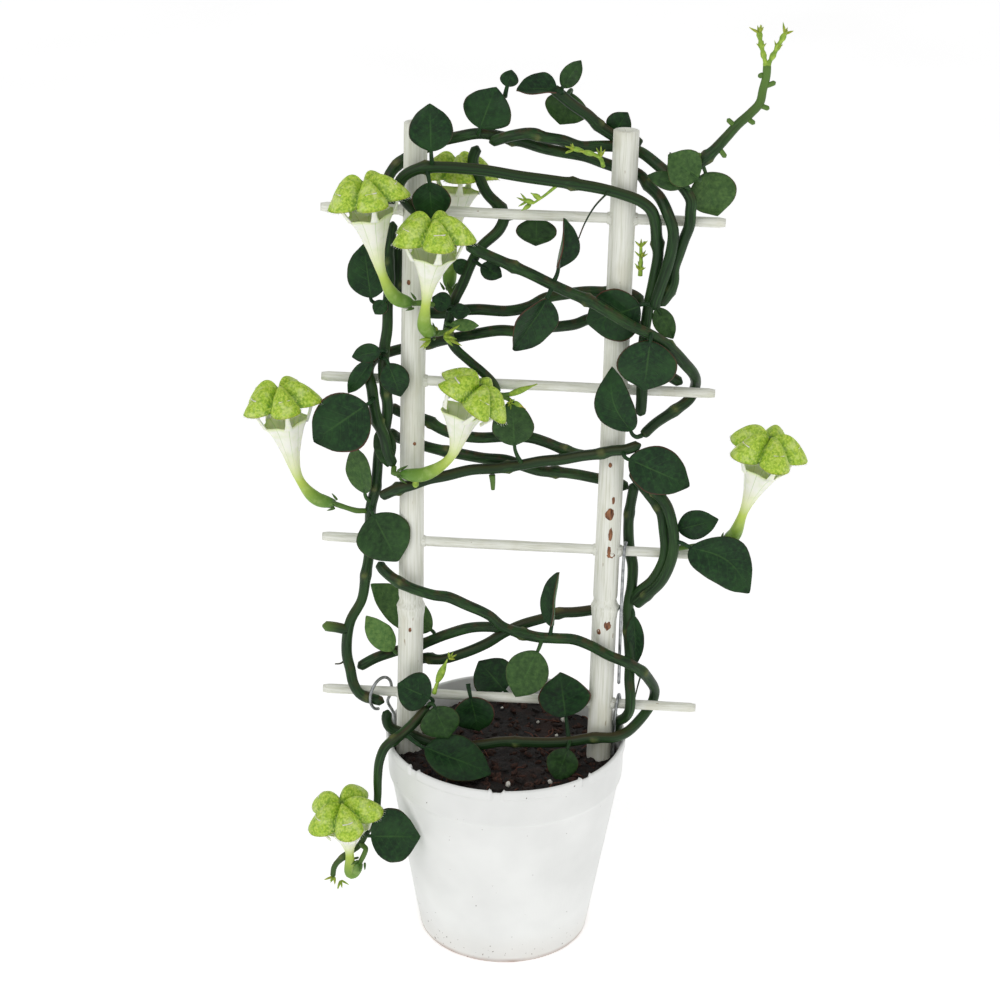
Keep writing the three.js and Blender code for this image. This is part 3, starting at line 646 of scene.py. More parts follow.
def make_pot():
    shell = Shell(WHITE_PP)
    columns = []
    for i in range(POT_SIDES):
        angle = 2 * math.pi * i / POT_SIDES
        column = []
        for radius, height in pot_profile(angle):
            warp = 0.00018 * wobble(math.cos(angle) * 1.3, math.sin(angle) * 1.3, height * 20)
            radius += warp * smoothstep(0.03, 0.05, radius) * smoothstep(0.0, 0.03, height)
            place = (math.cos(angle) * radius, math.sin(angle) * radius, height)
            column.append(place)
        columns.append(column)
    last = len(columns[0]) - 1
    low = shell.point(columns[0][0])
    high = shell.point(columns[0][last])
    rings = [[shell.point(column[k]) for column in columns] for k in range(1, last)]
    shell.join(rings, caps=False)
    for i in range(POT_SIDES):
        j = (i + 1) % POT_SIDES
        shell.face((low, rings[0][j], rings[0][i]))
        shell.face((rings[-1][i], rings[-1][j], high))
    pot = shell.piece("nursery_pot", "pot", replaces=("pot",))
    pegs = drain_holes()
    bpy.context.scene.collection.objects.link(pegs)
    cut = pot.modifiers.new("drain_holes", "BOOLEAN")
    cut.operation = "DIFFERENCE"
    cut.object = pegs
    keep_modifiers(pot)
    bpy.data.objects.remove(pegs)
    bend = pot.modifiers.new("soft_corners", "WEIGHTED_NORMAL")
    bend.keep_sharp = True
    keep_modifiers(pot)


# ---- soil --------------------------------------------------------------------------------

SOIL_TOP = 0.098
SOIL_RADIUS = 0.0562


def soil_height(x, y):
    """The lumpy top of the soil, higher in the middle and low along the wall."""
    far = math.hypot(x, y) / SOIL_RADIUS
    lumps = 0.0016 * wobble(x * 70, y * 70) + 0.0011 * wobble(x * 210, y * 210, 3)
    crumbs = 0.0007 * wobble(x * 520, y * 520, 7)
    return SOIL_TOP - 0.0005 + lumps + crumbs - 0.002 * smoothstep(0.85, 1.0, far)


def make_soil():
    shell = Shell(PEAT)
    sides = 150
    steps = 46
    rings = []
    for k in range(1, steps + 1):
        radius = SOIL_RADIUS * k / steps
        ring = []
        for i in range(sides):
            angle = 2 * math.pi * i / sides
            x = radius * math.cos(angle)
            y = radius * math.sin(angle)
            ring.append(shell.point((x, y, soil_height(x, y))))
        rings.append(ring)
    for depth in (0.088, 0.05, 0.005):
        radius = pot_wall_radius(depth) - WALL - 0.0006
        turn = [2 * math.pi * i / sides for i in range(sides)]
        rings.append([shell.point((radius * math.cos(a), radius * math.sin(a), depth)) for a in turn])
    rings = [list(reversed(r)) for r in rings]
    shell.join(rings)
    shell.piece("potting_soil", "soil", replaces=("soil",))


def on_soil(draw, least=0.0):
    """A random spot on the soil, at least that share of the way out."""
    far = SOIL_RADIUS * math.sqrt(draw.uniform(least * least, 0.93))
    angle = draw.uniform(0, 2 * math.pi)
    x = far * math.cos(angle)
    y = far * math.sin(angle)
    return Vector((x, y, soil_height(x, y)))


def random_turn(draw, tilt):
    spin = Matrix.Rotation(draw.uniform(0, 2 * math.pi), 3, "Z")
    return spin @ Matrix.Rotation(draw.uniform(-tilt, tilt), 3, "X")


def make_soil_litter():
    """Bark chips, crumbs, coir fibres and perlite lying on the soil."""
    draw = random.Random(11)
    chips = Shell(BARK, PEAT)
    for i in range(430):
        long = draw.uniform(0.0015, 0.0065)
        size = (long, long * draw.uniform(0.35, 0.8), long * draw.uniform(0.25, 0.6))
        place = on_soil(draw) + UP * size[2] * 0.2
        blob(chips, place, size, random_turn(draw, 0.6), i, i % 3 % 2, 3, 6, 0.5)
    chips.piece("bark_chips", "soil", smooth=False)
    fibres = Shell(FIBRE)
    for i in range(38):
        start = on_soil(draw, 0.2) + UP * 0.0008
        angle = draw.uniform(0, 2 * math.pi)
        long = draw.uniform(0.006, 0.017)
        curl = draw.uniform(-0.004, 0.004)
        along = Vector((math.cos(angle), math.sin(angle), 0))
        side = Vector((-along.y, along.x, 0))
        middle = start + along * long / 2 + side * curl
        end = start + along * long
        for p in (start, middle, end):
            if math.hypot(p.x, p.y) > SOIL_RADIUS * 0.97:
                p.xy = p.xy * 0.9
            p.z = soil_height(p.x, p.y) + 0.0008
        middle.z += draw.uniform(0, 0.0025)
        bar(fibres, smooth_route([start, middle, end], 0.0015), lambda gone, angle: 0.00028, 5)
    fibres.piece("coir_fibres", "soil")
    white = Shell(PERLITE)
    for i in range(16):
        size = draw.uniform(0.0012, 0.003)
        blob(white, on_soil(draw, 0.5) + UP * 0.0007, (size,) * 3, random_turn(draw, 3), i, 0, 4, 7, 0.5)
    white.piece("perlite_grains", "soil")


# ---- trellis -----------------------------------------------------------------------------

RUNG_HEIGHTS = (0.374, 0.292, 0.210, 0.128)
RUNG_RADIUS = 0.0024
RUNG_START = -0.0909
RUNG_LENGTH = 0.1853
CANE_OFF = 0.0475
CANE_BOTTOM = 0.086
CANE_TOP = 0.415


def make_cane(name, node, x, foot, head, joint, seed):
    """A bamboo cane: slightly uneven, with one swollen joint and a hollow at the cut top."""
    shell = Shell(CANE_PAINT)
    heights = []
    z = CANE_BOTTOM
    while z < CANE_TOP - 0.0005:
        heights.append(z)
        z += 0.0008 if abs(z - joint) < 0.009 else 0.004
    edge = [(CANE_TOP - 0.0004, 0.0), (CANE_TOP, -0.0006), (CANE_TOP, -0.0026), (CANE_TOP - 0.0006, -0.0031)]
    edge += [(CANE_TOP - 0.004, -0.0033)]
    rings = []
    for height, inward in [(h, 0.0) for h in heights] + edge:
        share = (height - CANE_BOTTOM) / (CANE_TOP - CANE_BOTTOM)
        off = height - joint
        groove = 0.0005 * math.exp(-(((off - 0.0052) / 0.0014) ** 2))
        swell = 0.0006 * math.exp(-((off / 0.0034) ** 2)) - groove
        ridge = 0.00045 * math.exp(-(((off - 0.0018) / 0.0008) ** 2))
        ring = []
        for i in range(40):
            angle = 2 * math.pi * i / 40
            uneven = 0.00022 * wobble(math.cos(angle) + seed, math.sin(angle), height * 14)
            radius = foot + (head - foot) * share + uneven + swell + ridge + inward
            lean = 0.0003 * wobble(height * 9, seed)
            place = (x + lean + radius * math.cos(angle), radius * math.sin(angle), height)
            flat = (radius * math.cos(angle), radius * math.sin(angle), height + seed)
            ring.append(shell.point(place, straight=flat))
        rings.append(ring)
    shell.join(rings)
    shell.piece(name, "cane", LADDER, replaces=(node,))


def make_rungs():
    for i, height in enumerate(RUNG_HEIGHTS):
        shell = Shell(CANE_PAINT)
        count = 62
        points = []
        for k in range(count + 1):
            x = RUNG_START + RUNG_LENGTH * k / count
            points.append(Vector((x, 0.0002 * wobble(x * 25, i), height + 0.0003 * wobble(x * 18, i, 5))))

        def radius_at(gone, angle, row=i):
            end = 0.8 if min(gone, RUNG_LENGTH - gone) < 0.0004 else 1.0
            return RUNG_RADIUS * end * (1 + 0.07 * wobble(gone * 60, math.cos(angle), row))

        bar(shell, points, radius_at, 16)
        shell.piece(f"rung_rod_{i + 1}", "rung", LADDER, replaces=(f"rung_{i + 1}",))


def make_paint_collars():
    """The paint that has dried as a small collar where each rung enters a cane."""
    shell = Shell(CANE_PAINT)
    for x, radius in ((-CANE_OFF, 0.0058), (CANE_OFF, 0.0059)):
        for height in RUNG_HEIGHTS:
            for side in (-1, 1):
                start = Vector((x + side * (radius - 0.0009), 0, height))
                points = [start + Vector((side * 0.0004 * k, 0, 0)) for k in range(6)]
                seed = height * 90 + side + x * 40
                bar(
                    shell,
                    points,
                    lambda gone, angle, s=seed: 0.0026
                    + 0.0012 * math.exp(-gone / 0.0009)
                    + 0.0002 * wobble(math.cos(angle) * 2, math.sin(angle) * 2, s),
                    18,
                )
    shell.piece("paint_collars", "cane", LADDER)


def make_paint_chips():
    """Small places where the paint has chipped off the canes and bare bamboo shows."""
    shell = Shell(BARE_CANE)
    draw = random.Random(5)
    chips = [
        (CANE_OFF, 0.231, 0.0019, 0.003), (CANE_OFF, 0.2325, 0.0012, 0.0016),
        (CANE_OFF, 0.2205, 0.001, 0.0032), (CANE_OFF, 0.2095, 0.0022, 0.0012),
        (CANE_OFF, 0.212, 0.0008, 0.0022), (CANE_OFF, 0.1725, 0.0017, 0.0026),
        (CANE_OFF, 0.169, 0.0012, 0.0016), (CANE_OFF, 0.256, 0.0008, 0.0012),
        (CANE_OFF, 0.238, 0.0007, 0.0018), (-CANE_OFF, 0.165, 0.0008, 0.0012),
        (-CANE_OFF, 0.262, 0.0009, 0.0009), (-CANE_OFF, 0.341, 0.0008, 0.0013),
    ]
    for x, height, wide, tall in chips:
        share = (height - CANE_BOTTOM) / (CANE_TOP - CANE_BOTTOM)
        radius = (0.0064 - 0.001 * share if x < 0 else 0.006 - 0.0001 * share) + 0.00018
        middle = -math.pi / 2 + draw.uniform(-0.45, 0.35)
        rim = []
        for i in range(14):
            angle = 2 * math.pi * i / 14
            grow = 1 + 0.4 * wobble(math.cos(angle) * 2, math.sin(angle) * 2, height * 300)
            turn = middle + wide * math.cos(angle) * grow / radius
            z = height + tall * math.sin(angle) * grow
            rim.append(Vector((x + radius * math.cos(turn), radius * math.sin(turn), z)))
        centre = Vector((x + radius * math.cos(middle), radius * math.sin(middle), height))
        axis = Vector((x, 0, height))
        front = [shell.point(p) for p in rim]
        sunk = [shell.point(p + (axis - centre).normalized() * 0.0008) for p in rim]
        shell.join([sunk, front])
    shell.piece("bare_bamboo_chips", "cane", LADDER)


def ring_clip_route():
    skew = math.radians(33)
    route = [(-0.0556, 0.004, 0.1), (-0.0556, 0.0036, 0.113)]
    for i in range(13):
        angle = math.radians(-50 + i * 26)
        out = 0.0082 * math.cos(angle)
        up = 0.1285 + 0.0082 * math.sin(angle)
        route.append((-0.0615 + out * math.sin(skew), -0.0036 + out * math.cos(skew), up))
    return route


CLIPS = {
    "clip_left": ring_clip_route(),
    "clip_right_low": [
        (0.0546, -0.003, 0.1), (0.0546, -0.003, 0.116), (0.055, -0.0039, 0.124), (0.0556, -0.0034, 0.13),
        (0.0562, 0, 0.1326), (0.0568, 0.004, 0.13), (0.057, 0.0046, 0.124),
    ],
    "clip_right_high": [
        (0.056, -0.003, 0.14), (0.0556, -0.0036, 0.165), (0.0554, -0.0038, 0.19), (0.0555, -0.004, 0.208),
        (0.0558, -0.0026, 0.2136), (0.0564, 0.0008, 0.2146),
    ],
}


def make_clips():
    for node, route in CLIPS.items():
        shell = Shell(ZINC_WIRE)
        points = smooth_route(route, 0.0007)
        length = route_length(points)
        bar(shell, points, lambda gone, angle, n=length: 0.0008 * round_ends(n, 0.0006, gone), 10)
        shell.piece(f"wire_{node}", "wire", LADDER, replaces=(node,))


# ---- routes, leaves and flowers --------------------------------------------------------

# Each vine is one piece: its first route is the main strand and the rest fork from it.
VINES = {
    "vine_top_front": [
        [
            (0.06, -0.005, 0.281), (0.06, -0.006, 0.289), (0.06, -0.006, 0.299), (0.06, -0.004, 0.32),
            (0.0615, -0.003, 0.335), (0.063, -0.0035, 0.347), (0.0645, -0.0045, 0.359),
            (0.0635, -0.0055, 0.368), (0.0625, -0.007, 0.375), (0.06, -0.009, 0.381),
            (0.055, -0.0095, 0.385), (0.046, -0.0095, 0.388), (0.037, -0.0095, 0.39),
            (0.019, -0.009, 0.392), (0.001, -0.009, 0.394), (-0.017, -0.009, 0.396), (-0.035, -0.01, 0.397),
            (-0.045, -0.0105, 0.396), (-0.052, -0.0105, 0.392), (-0.054, -0.01, 0.387),
            (-0.051, -0.01, 0.381), (-0.046, -0.01, 0.376), (-0.035, -0.0105, 0.368),
            (-0.025, -0.011, 0.362),
        ],
        [
            (0.06, -0.004, 0.318), (0.063, -0.002, 0.312), (0.067, 0, 0.304), (0.074, 0.003, 0.298),
            (0.079, 0.004, 0.295),
        ],
    ],
    "vine_top_back": [
        [
            (-0.058, 0.0055, 0.37), (-0.06, 0.0055, 0.378), (-0.061, 0.006, 0.385), (-0.059, 0.008, 0.39),
            (-0.054, 0.0098, 0.395), (-0.047, 0.0098, 0.399), (-0.039, 0.006, 0.404),
            (-0.029, 0.003, 0.408), (-0.019, 0.003, 0.41), (-0.009, 0.003, 0.409), (0, 0.004, 0.407),
            (0.009, 0.006, 0.404), (0.018, 0.008, 0.402), (0.029, 0.009, 0.4), (0.038, 0.0098, 0.397),
            (0.045, 0.0098, 0.395), (0.054, 0.0075, 0.393), (0.059, 0.002, 0.389), (0.064, -0.004, 0.3855),
            (0.068, -0.0085, 0.379), (0.0705, -0.01, 0.372), (0.0705, -0.01, 0.364), (0.069, -0.01, 0.355),
            (0.0665, -0.0098, 0.346), (0.0645, -0.0095, 0.338), (0.064, -0.0095, 0.334),
        ],
        [
            (-0.014, -0.001, 0.407), (-0.003, -0.003, 0.411), (0.004, -0.002, 0.412), (0.011, 0, 0.41),
            (0.019, 0.004, 0.408), (0.027, 0.007, 0.405), (0.034, 0.009, 0.405), (0.041, 0.0098, 0.405),
            (0.047, 0.0098, 0.404), (0.054, 0.008, 0.403), (0.062, 0.004, 0.399), (0.068, 0, 0.395),
            (0.074, -0.004, 0.391), (0.078, -0.006, 0.385), (0.078, -0.0065, 0.38), (0.078, -0.0065, 0.374),
            (0.076, -0.006, 0.367), (0.074, -0.0055, 0.36), (0.072, -0.005, 0.353), (0.072, -0.0055, 0.347),
            (0.069, -0.007, 0.34), (0.066, -0.009, 0.336),
        ],
        [
            (0.055, 0.01, 0.408), (0.049, 0.011, 0.407), (0.043, 0.011, 0.409), (0.035, 0.01, 0.414),
            (0.03, 0.008, 0.419), (0.023, 0.006, 0.424), (0.018, 0.005, 0.428), (0.013, 0.004, 0.432),
        ],
        [
            (0.071, -0.002, 0.393), (0.077, -0.003, 0.398), (0.082, -0.004, 0.403), (0.087, -0.004, 0.408),
            (0.092, -0.004, 0.414), (0.097, -0.003, 0.42), (0.102, -0.003, 0.425), (0.106, -0.003, 0.43),
            (0.107, -0.003, 0.436), (0.108, -0.003, 0.442), (0.108, -0.003, 0.448),
        ],
    ],
    "vine_inner": [
        [
            (-0.02, 0.009, 0.403), (-0.022, 0.009, 0.396), (-0.019, 0.008, 0.389), (-0.015, 0.007, 0.381),
            (-0.01, 0.0065, 0.376), (-0.007, 0.0065, 0.371), (-0.009, 0.006, 0.365), (-0.017, 0.004, 0.357),
            (-0.021, 0.002, 0.35), (-0.025, 0, 0.34), (-0.028, -0.002, 0.333), (-0.03, -0.003, 0.326),
            (-0.031, -0.003, 0.317), (-0.028, -0.003, 0.31), (-0.021, -0.004, 0.304),
            (-0.014, -0.006, 0.299), (-0.009, -0.007, 0.294), (-0.007, -0.008, 0.289),
        ],
    ],
    "vine_middle_front": [
        [
            (-0.023, -0.011, 0.362), (-0.013, -0.01, 0.357), (-0.004, -0.009, 0.353),
            (0.006, -0.009, 0.349), (0.015, -0.009, 0.345), (0.025, -0.01, 0.341), (0.035, -0.013, 0.338),
            (0.045, -0.015, 0.333), (0.054, -0.015, 0.328), (0.063, -0.015, 0.324), (0.071, -0.012, 0.318),
            (0.078, -0.007, 0.31), (0.084, 0, 0.301), (0.085, 0.0068, 0.293), (0.083, 0.006, 0.287),
            (0.076, 0.002, 0.282), (0.067, -0.004, 0.277), (0.061, -0.01, 0.273),
        ],
    ],
    "vine_cross_upper": [
        [
            (-0.056, 0.009, 0.359), (-0.056, 0.009, 0.347), (-0.056, 0.009, 0.335), (-0.053, 0.0098, 0.328),
            (-0.048, 0.0098, 0.324), (-0.041, 0.008, 0.323), (-0.033, 0.005, 0.324), (-0.027, 0.003, 0.326),
            (-0.018, 0.003, 0.327), (-0.004, 0.003, 0.327), (0.006, 0.005, 0.329), (0.013, 0.006, 0.333),
            (0.022, 0.007, 0.335), (0.032, 0.009, 0.336), (0.04, 0.0098, 0.336), (0.047, 0.0098, 0.336),
            (0.053, 0.008, 0.336), (0.059, 0.006, 0.333),
        ],
    ],
    "vine_cross_middle": [
        [
            (-0.055, -0.011, 0.252), (-0.058, -0.01, 0.258), (-0.06, -0.0105, 0.267),
            (-0.063, -0.01, 0.274), (-0.065, -0.0095, 0.282), (-0.066, -0.0085, 0.29),
            (-0.068, -0.004, 0.297), (-0.066, 0.002, 0.301), (-0.06, 0.0065, 0.303),
            (-0.055, 0.0088, 0.304), (-0.049, 0.0098, 0.305), (-0.042, 0.0098, 0.307),
            (-0.032, 0.006, 0.311), (-0.018, 0.004, 0.315), (-0.007, 0.004, 0.317), (0.002, 0.004, 0.317),
            (0.011, 0.004, 0.319), (0.021, 0.005, 0.32), (0.028, 0.006, 0.321), (0.034, 0.008, 0.323),
            (0.041, 0.0098, 0.323), (0.048, 0.0098, 0.324), (0.055, 0.007, 0.323), (0.058, 0.005, 0.321),
        ],
    ],
    "vine_cross_lower": [
        [
            (0.061, -0.011, 0.269), (0.054, -0.0105, 0.266), (0.048, -0.01, 0.265), (0.042, -0.01, 0.263),
            (0.033, -0.009, 0.261), (0.023, -0.007, 0.258), (0.014, -0.005, 0.256), (0.004, -0.004, 0.253),
            (-0.005, -0.004, 0.251), (-0.019, -0.005, 0.25), (-0.031, -0.007, 0.247),
            (-0.038, -0.0095, 0.246), (-0.046, -0.0105, 0.243), (-0.052, -0.01, 0.241),
            (-0.057, -0.008, 0.238), (-0.062, -0.005, 0.234),
        ],
        [
            (-0.058, 0.003, 0.277), (-0.054, 0.008, 0.273), (-0.048, 0.0098, 0.271), (-0.041, 0.008, 0.269),
            (-0.035, 0.006, 0.266), (-0.028, 0.005, 0.264), (-0.016, 0.004, 0.263), (-0.001, 0.003, 0.265),
            (0.008, 0.003, 0.265), (0.016, 0.002, 0.263), (0.023, 0, 0.261), (0.03, -0.003, 0.26),
            (0.036, -0.008, 0.261),
        ],
    ],
    "vine_cross_back": [
        [
            (-0.059, 0.004, 0.264), (-0.055, 0.009, 0.259), (-0.048, 0.0098, 0.257),
            (-0.041, 0.0098, 0.255), (-0.03, 0.007, 0.254), (-0.015, 0.004, 0.253), (-0.003, 0.002, 0.253),
            (0.004, 0.002, 0.251), (0.014, 0.003, 0.248), (0.023, 0.005, 0.247), (0.033, 0.008, 0.245),
            (0.042, 0.0098, 0.243), (0.051, 0.0098, 0.241), (0.056, 0.008, 0.239),
        ],
    ],
    "vine_left": [
        [
            (-0.058, 0.005, 0.367), (-0.059, 0.003, 0.36), (-0.06, 0.002, 0.352), (-0.059, 0.002, 0.34),
            (-0.06, 0.002, 0.328), (-0.06, 0, 0.316), (-0.061, -0.002, 0.307), (-0.061, -0.0055, 0.298),
            (-0.06, -0.0055, 0.289), (-0.059, -0.004, 0.28), (-0.06, -0.003, 0.27), (-0.063, -0.003, 0.258),
            (-0.064, -0.002, 0.246), (-0.065, -0.001, 0.237), (-0.067, 0, 0.227), (-0.068, 0.0035, 0.218),
            (-0.069, 0.0066, 0.208), (-0.069, 0.0066, 0.198), (-0.07, 0.004, 0.189), (-0.072, 0.002, 0.176),
            (-0.077, 0, 0.166), (-0.079, 0, 0.157), (-0.079, 0, 0.147), (-0.077, -0.002, 0.14),
            (-0.075, -0.0055, 0.134), (-0.072, -0.006, 0.129), (-0.068, -0.006, 0.127),
            (-0.063, -0.0065, 0.126), (-0.0595, -0.0075, 0.1255),
        ],
        [
            (-0.077, 0, 0.16), (-0.084, -0.001, 0.162), (-0.091, -0.002, 0.163),
        ],
    ],
    "vine_right": [
        [
            (0.059, 0.004, 0.244), (0.058, 0.005, 0.235), (0.057, 0.006, 0.225), (0.057, 0.0065, 0.216),
            (0.058, 0.0065, 0.208), (0.06, 0.005, 0.201), (0.06, 0.003, 0.191), (0.059, 0.003, 0.182),
            (0.059, 0.003, 0.172), (0.06, 0.002, 0.162), (0.061, 0.001, 0.152), (0.061, -0.002, 0.142),
            (0.062, -0.006, 0.135), (0.062, -0.0068, 0.128), (0.06, -0.0032, 0.122), (0.057, 0.0005, 0.118),
            (0.056, 0.004, 0.114), (0.054, 0.008, 0.108), (0.051, 0.011, 0.102), (0.05, 0.012, 0.09),
        ],
        [
            (0.059, -0.005, 0.254), (0.064, -0.007, 0.25), (0.069, -0.009, 0.245), (0.075, -0.0105, 0.238),
            (0.078, -0.011, 0.229), (0.079, -0.0115, 0.219), (0.078, -0.011, 0.21), (0.074, -0.009, 0.199),
            (0.068, -0.005, 0.19), (0.062, -0.001, 0.182),
        ],
        [
            (0.057, 0.002, 0.251), (0.061, 0, 0.246), (0.066, -0.003, 0.241), (0.072, -0.005, 0.234),
            (0.074, -0.006, 0.224), (0.075, -0.0065, 0.215), (0.074, -0.006, 0.207), (0.07, -0.004, 0.197),
            (0.064, 0, 0.189), (0.06, 0.003, 0.181),
        ],
    ],
    "vine_lower_front": [
        [
            (-0.063, -0.003, 0.199), (-0.061, -0.006, 0.197), (-0.056, -0.0095, 0.194),
            (-0.052, -0.0105, 0.192), (-0.047, -0.011, 0.19), (-0.041, -0.011, 0.188),
            (-0.035, -0.01, 0.186), (-0.028, -0.009, 0.185), (-0.018, -0.009, 0.181),
            (-0.008, -0.009, 0.176), (-0.002, -0.009, 0.171), (0.006, -0.009, 0.168),
            (0.016, -0.009, 0.166), (0.024, -0.009, 0.166), (0.033, -0.009, 0.166), (0.042, -0.01, 0.163),
            (0.05, -0.0105, 0.159), (0.06, -0.01, 0.155), (0.067, -0.006, 0.149), (0.071, -0.001, 0.142),
            (0.074, 0.0055, 0.133), (0.073, 0.007, 0.126), (0.07, 0.005, 0.121), (0.065, 0, 0.1165),
            (0.06, -0.0055, 0.1145), (0.054, -0.0098, 0.114), (0.048, -0.011, 0.114),
            (0.041, -0.011, 0.113), (0.033, -0.011, 0.111), (0.024, -0.011, 0.11), (0.01, -0.012, 0.11),
            (-0.001, -0.013, 0.11), (-0.011, -0.014, 0.108), (-0.021, -0.015, 0.107),
            (-0.031, -0.015, 0.108), (-0.038, -0.014, 0.109), (-0.046, -0.012, 0.111),
            (-0.052, -0.01, 0.111), (-0.0565, -0.0095, 0.113), (-0.058, -0.009, 0.117),
            (-0.0573, -0.0085, 0.1218),
        ],
    ],
    "vine_lower_back": [
        [
            (-0.074, 0.002, 0.139), (-0.066, 0.005, 0.143), (-0.059, 0.008, 0.145), (-0.055, 0.0098, 0.146),
            (-0.049, 0.0098, 0.148), (-0.043, 0.0098, 0.15), (-0.03, 0.006, 0.158), (-0.018, 0.002, 0.164),
            (-0.008, -0.002, 0.167), (-0.002, -0.003, 0.167),
        ],
        [
            (0.055, 0.0095, 0.176), (0.05, 0.0098, 0.175), (0.044, 0.0098, 0.174), (0.033, 0.007, 0.173),
            (0.026, 0.005, 0.173), (0.018, 0.003, 0.171), (0.009, 0, 0.169), (-0.001, -0.001, 0.164),
            (-0.01, 0.002, 0.156), (-0.022, 0.004, 0.149), (-0.033, 0.006, 0.144), (-0.041, 0.009, 0.143),
            (-0.047, 0.0105, 0.139), (-0.049, 0.0105, 0.13), (-0.049, 0.0105, 0.118),
            (-0.049, 0.0105, 0.107), (-0.049, 0.0105, 0.09),
        ],
    ],
    "trailing_shoot": [
        [
            (-0.037, -0.014, 0.128), (-0.041, -0.017, 0.123), (-0.048, -0.022, 0.117),
            (-0.052, -0.025, 0.1145), (-0.0565, -0.0275, 0.1115), (-0.059, -0.029, 0.105),
            (-0.06, -0.029, 0.094), (-0.06, -0.029, 0.084), (-0.061, -0.029, 0.073), (-0.065, -0.03, 0.065),
            (-0.069, -0.031, 0.057), (-0.076, -0.031, 0.051), (-0.081, -0.031, 0.045),
            (-0.082, -0.031, 0.038),
        ],
    ],
}

# base: where the stalk meets the blade, tip: end of the midrib, width: across the blade lying
# flat, face: the way the upper side looks, fold: how far the halves rise from the midrib.
LEAVES = {
    "leaf_01": {"base": (-0.039, -0.0134, 0.402), "tip": (-0.04, -0.014, 0.426), "width": 0.02},
    "leaf_02": {"base": (-0.04, -0.014, 0.393), "tip": (-0.038, -0.0145, 0.373), "width": 0.018},
    "leaf_03": {"base": (-0.067, -0.001, 0.329), "tip": (-0.071, -0.001, 0.357), "width": 0.02},
    "leaf_04": {"base": (-0.065, -0.015, 0.286), "tip": (-0.093, -0.017, 0.265), "width": 0.029},
    "leaf_05": {"base": (-0.019, -0.001, 0.411), "tip": (-0.012, -0.002, 0.432), "width": 0.023},
    "leaf_06": {"base": (0.018, 0.001, 0.431), "tip": (-0.002, -0.003, 0.433),
                "width": 0.015, "face": (0, -0.6, 1), "fold": 0.5},
    "leaf_07": {"base": (0.022, 0.013, 0.43), "tip": (0.017, 0.013, 0.413), "width": 0.02},
    "leaf_08": {"base": (0.082, -0.01, 0.395), "tip": (0.067, -0.013, 0.407), "width": 0.018},
    "leaf_09": {"base": (0.083, 0.002, 0.399), "tip": (0.091, 0.002, 0.376), "width": 0.022},
    "leaf_10": {"base": (0.008, 0.009, 0.372), "tip": (0.008, 0.008, 0.357), "width": 0.019},
    "leaf_11": {"base": (0.019, -0.009, 0.349), "tip": (0.023, -0.009, 0.375),
                "width": 0.016, "face": (1, -0.6, 0), "fold": 0.6},
    "leaf_12": {"base": (0.016, -0.0115, 0.341), "tip": (0.001, -0.015, 0.313),
                "width": 0.024, "face": (0.9, -1, 0), "fold": 0.4},
    "leaf_13": {"base": (0.06, -0.0087, 0.337), "tip": (0.033, -0.0087, 0.326),
                "width": 0.026, "face": (0, -1, 0), "fold": 0.02},
    "leaf_14": {"base": (0.063, -0.019, 0.325), "tip": (0.061, -0.015, 0.296), "width": 0.028},
    "leaf_15": {"base": (0.057, -0.014, 0.274), "tip": (0.046, -0.015, 0.307),
                "width": 0.018, "fold": 0.3, "bow": 0.004},
    "leaf_16": {"base": (0.053, -0.015, 0.264), "tip": (0.085, -0.013, 0.25), "width": 0.023},
    "leaf_17": {"base": (0.084, -0.014, 0.221), "tip": (0.116, -0.019, 0.199),
                "width": 0.024, "face": (0, -1, 0.2), "bow": 0.006},
    "leaf_18": {"base": (0.022, -0.01, 0.17), "tip": (0.023, -0.012, 0.202),
                "width": 0.014, "face": (-1, -0.5, 0), "fold": 0.6},
    "leaf_19": {"base": (0.017, -0.0125, 0.163), "tip": (0.006, -0.018, 0.137), "width": 0.021},
    "leaf_20": {"base": (0.031, -0.005, 0.1195), "tip": (0.027, -0.0075, 0.146), "width": 0.026},
    "leaf_21": {"base": (-0.034, -0.015, 0.132), "tip": (-0.052, -0.016, 0.14), "width": 0.02},
    "leaf_22": {"base": (-0.034, -0.0205, 0.133), "tip": (-0.026, -0.0225, 0.115), "width": 0.02},
    "leaf_23": {"base": (-0.017, -0.009, 0.134), "tip": (-0.012, -0.007, 0.111), "width": 0.021},
    "leaf_24": {"base": (-0.04, -0.024, 0.111), "tip": (-0.004, -0.032, 0.103),
                "width": 0.024, "face": (0, -0.7, 1)},
    "leaf_25": {"base": (-0.067, -0.004, 0.227), "tip": (-0.053, -0.011, 0.203), "width": 0.027},
    "leaf_26": {"base": (-0.069, -0.004, 0.232), "tip": (-0.075, -0.006, 0.259),
                "width": 0.015, "face": (-0.5, -1, 0)},
    "leaf_27": {"base": (-0.059, -0.01, 0.305), "tip": (-0.052, -0.011, 0.287), "width": 0.014},
    "leaf_28": {"base": (-0.036, 0.012, 0.155), "tip": (-0.069, 0.014, 0.179), "width": 0.019},
    "leaf_29": {"base": (-0.065, -0.036, 0.066), "tip": (-0.038, -0.04, 0.069), "width": 0.028},
}

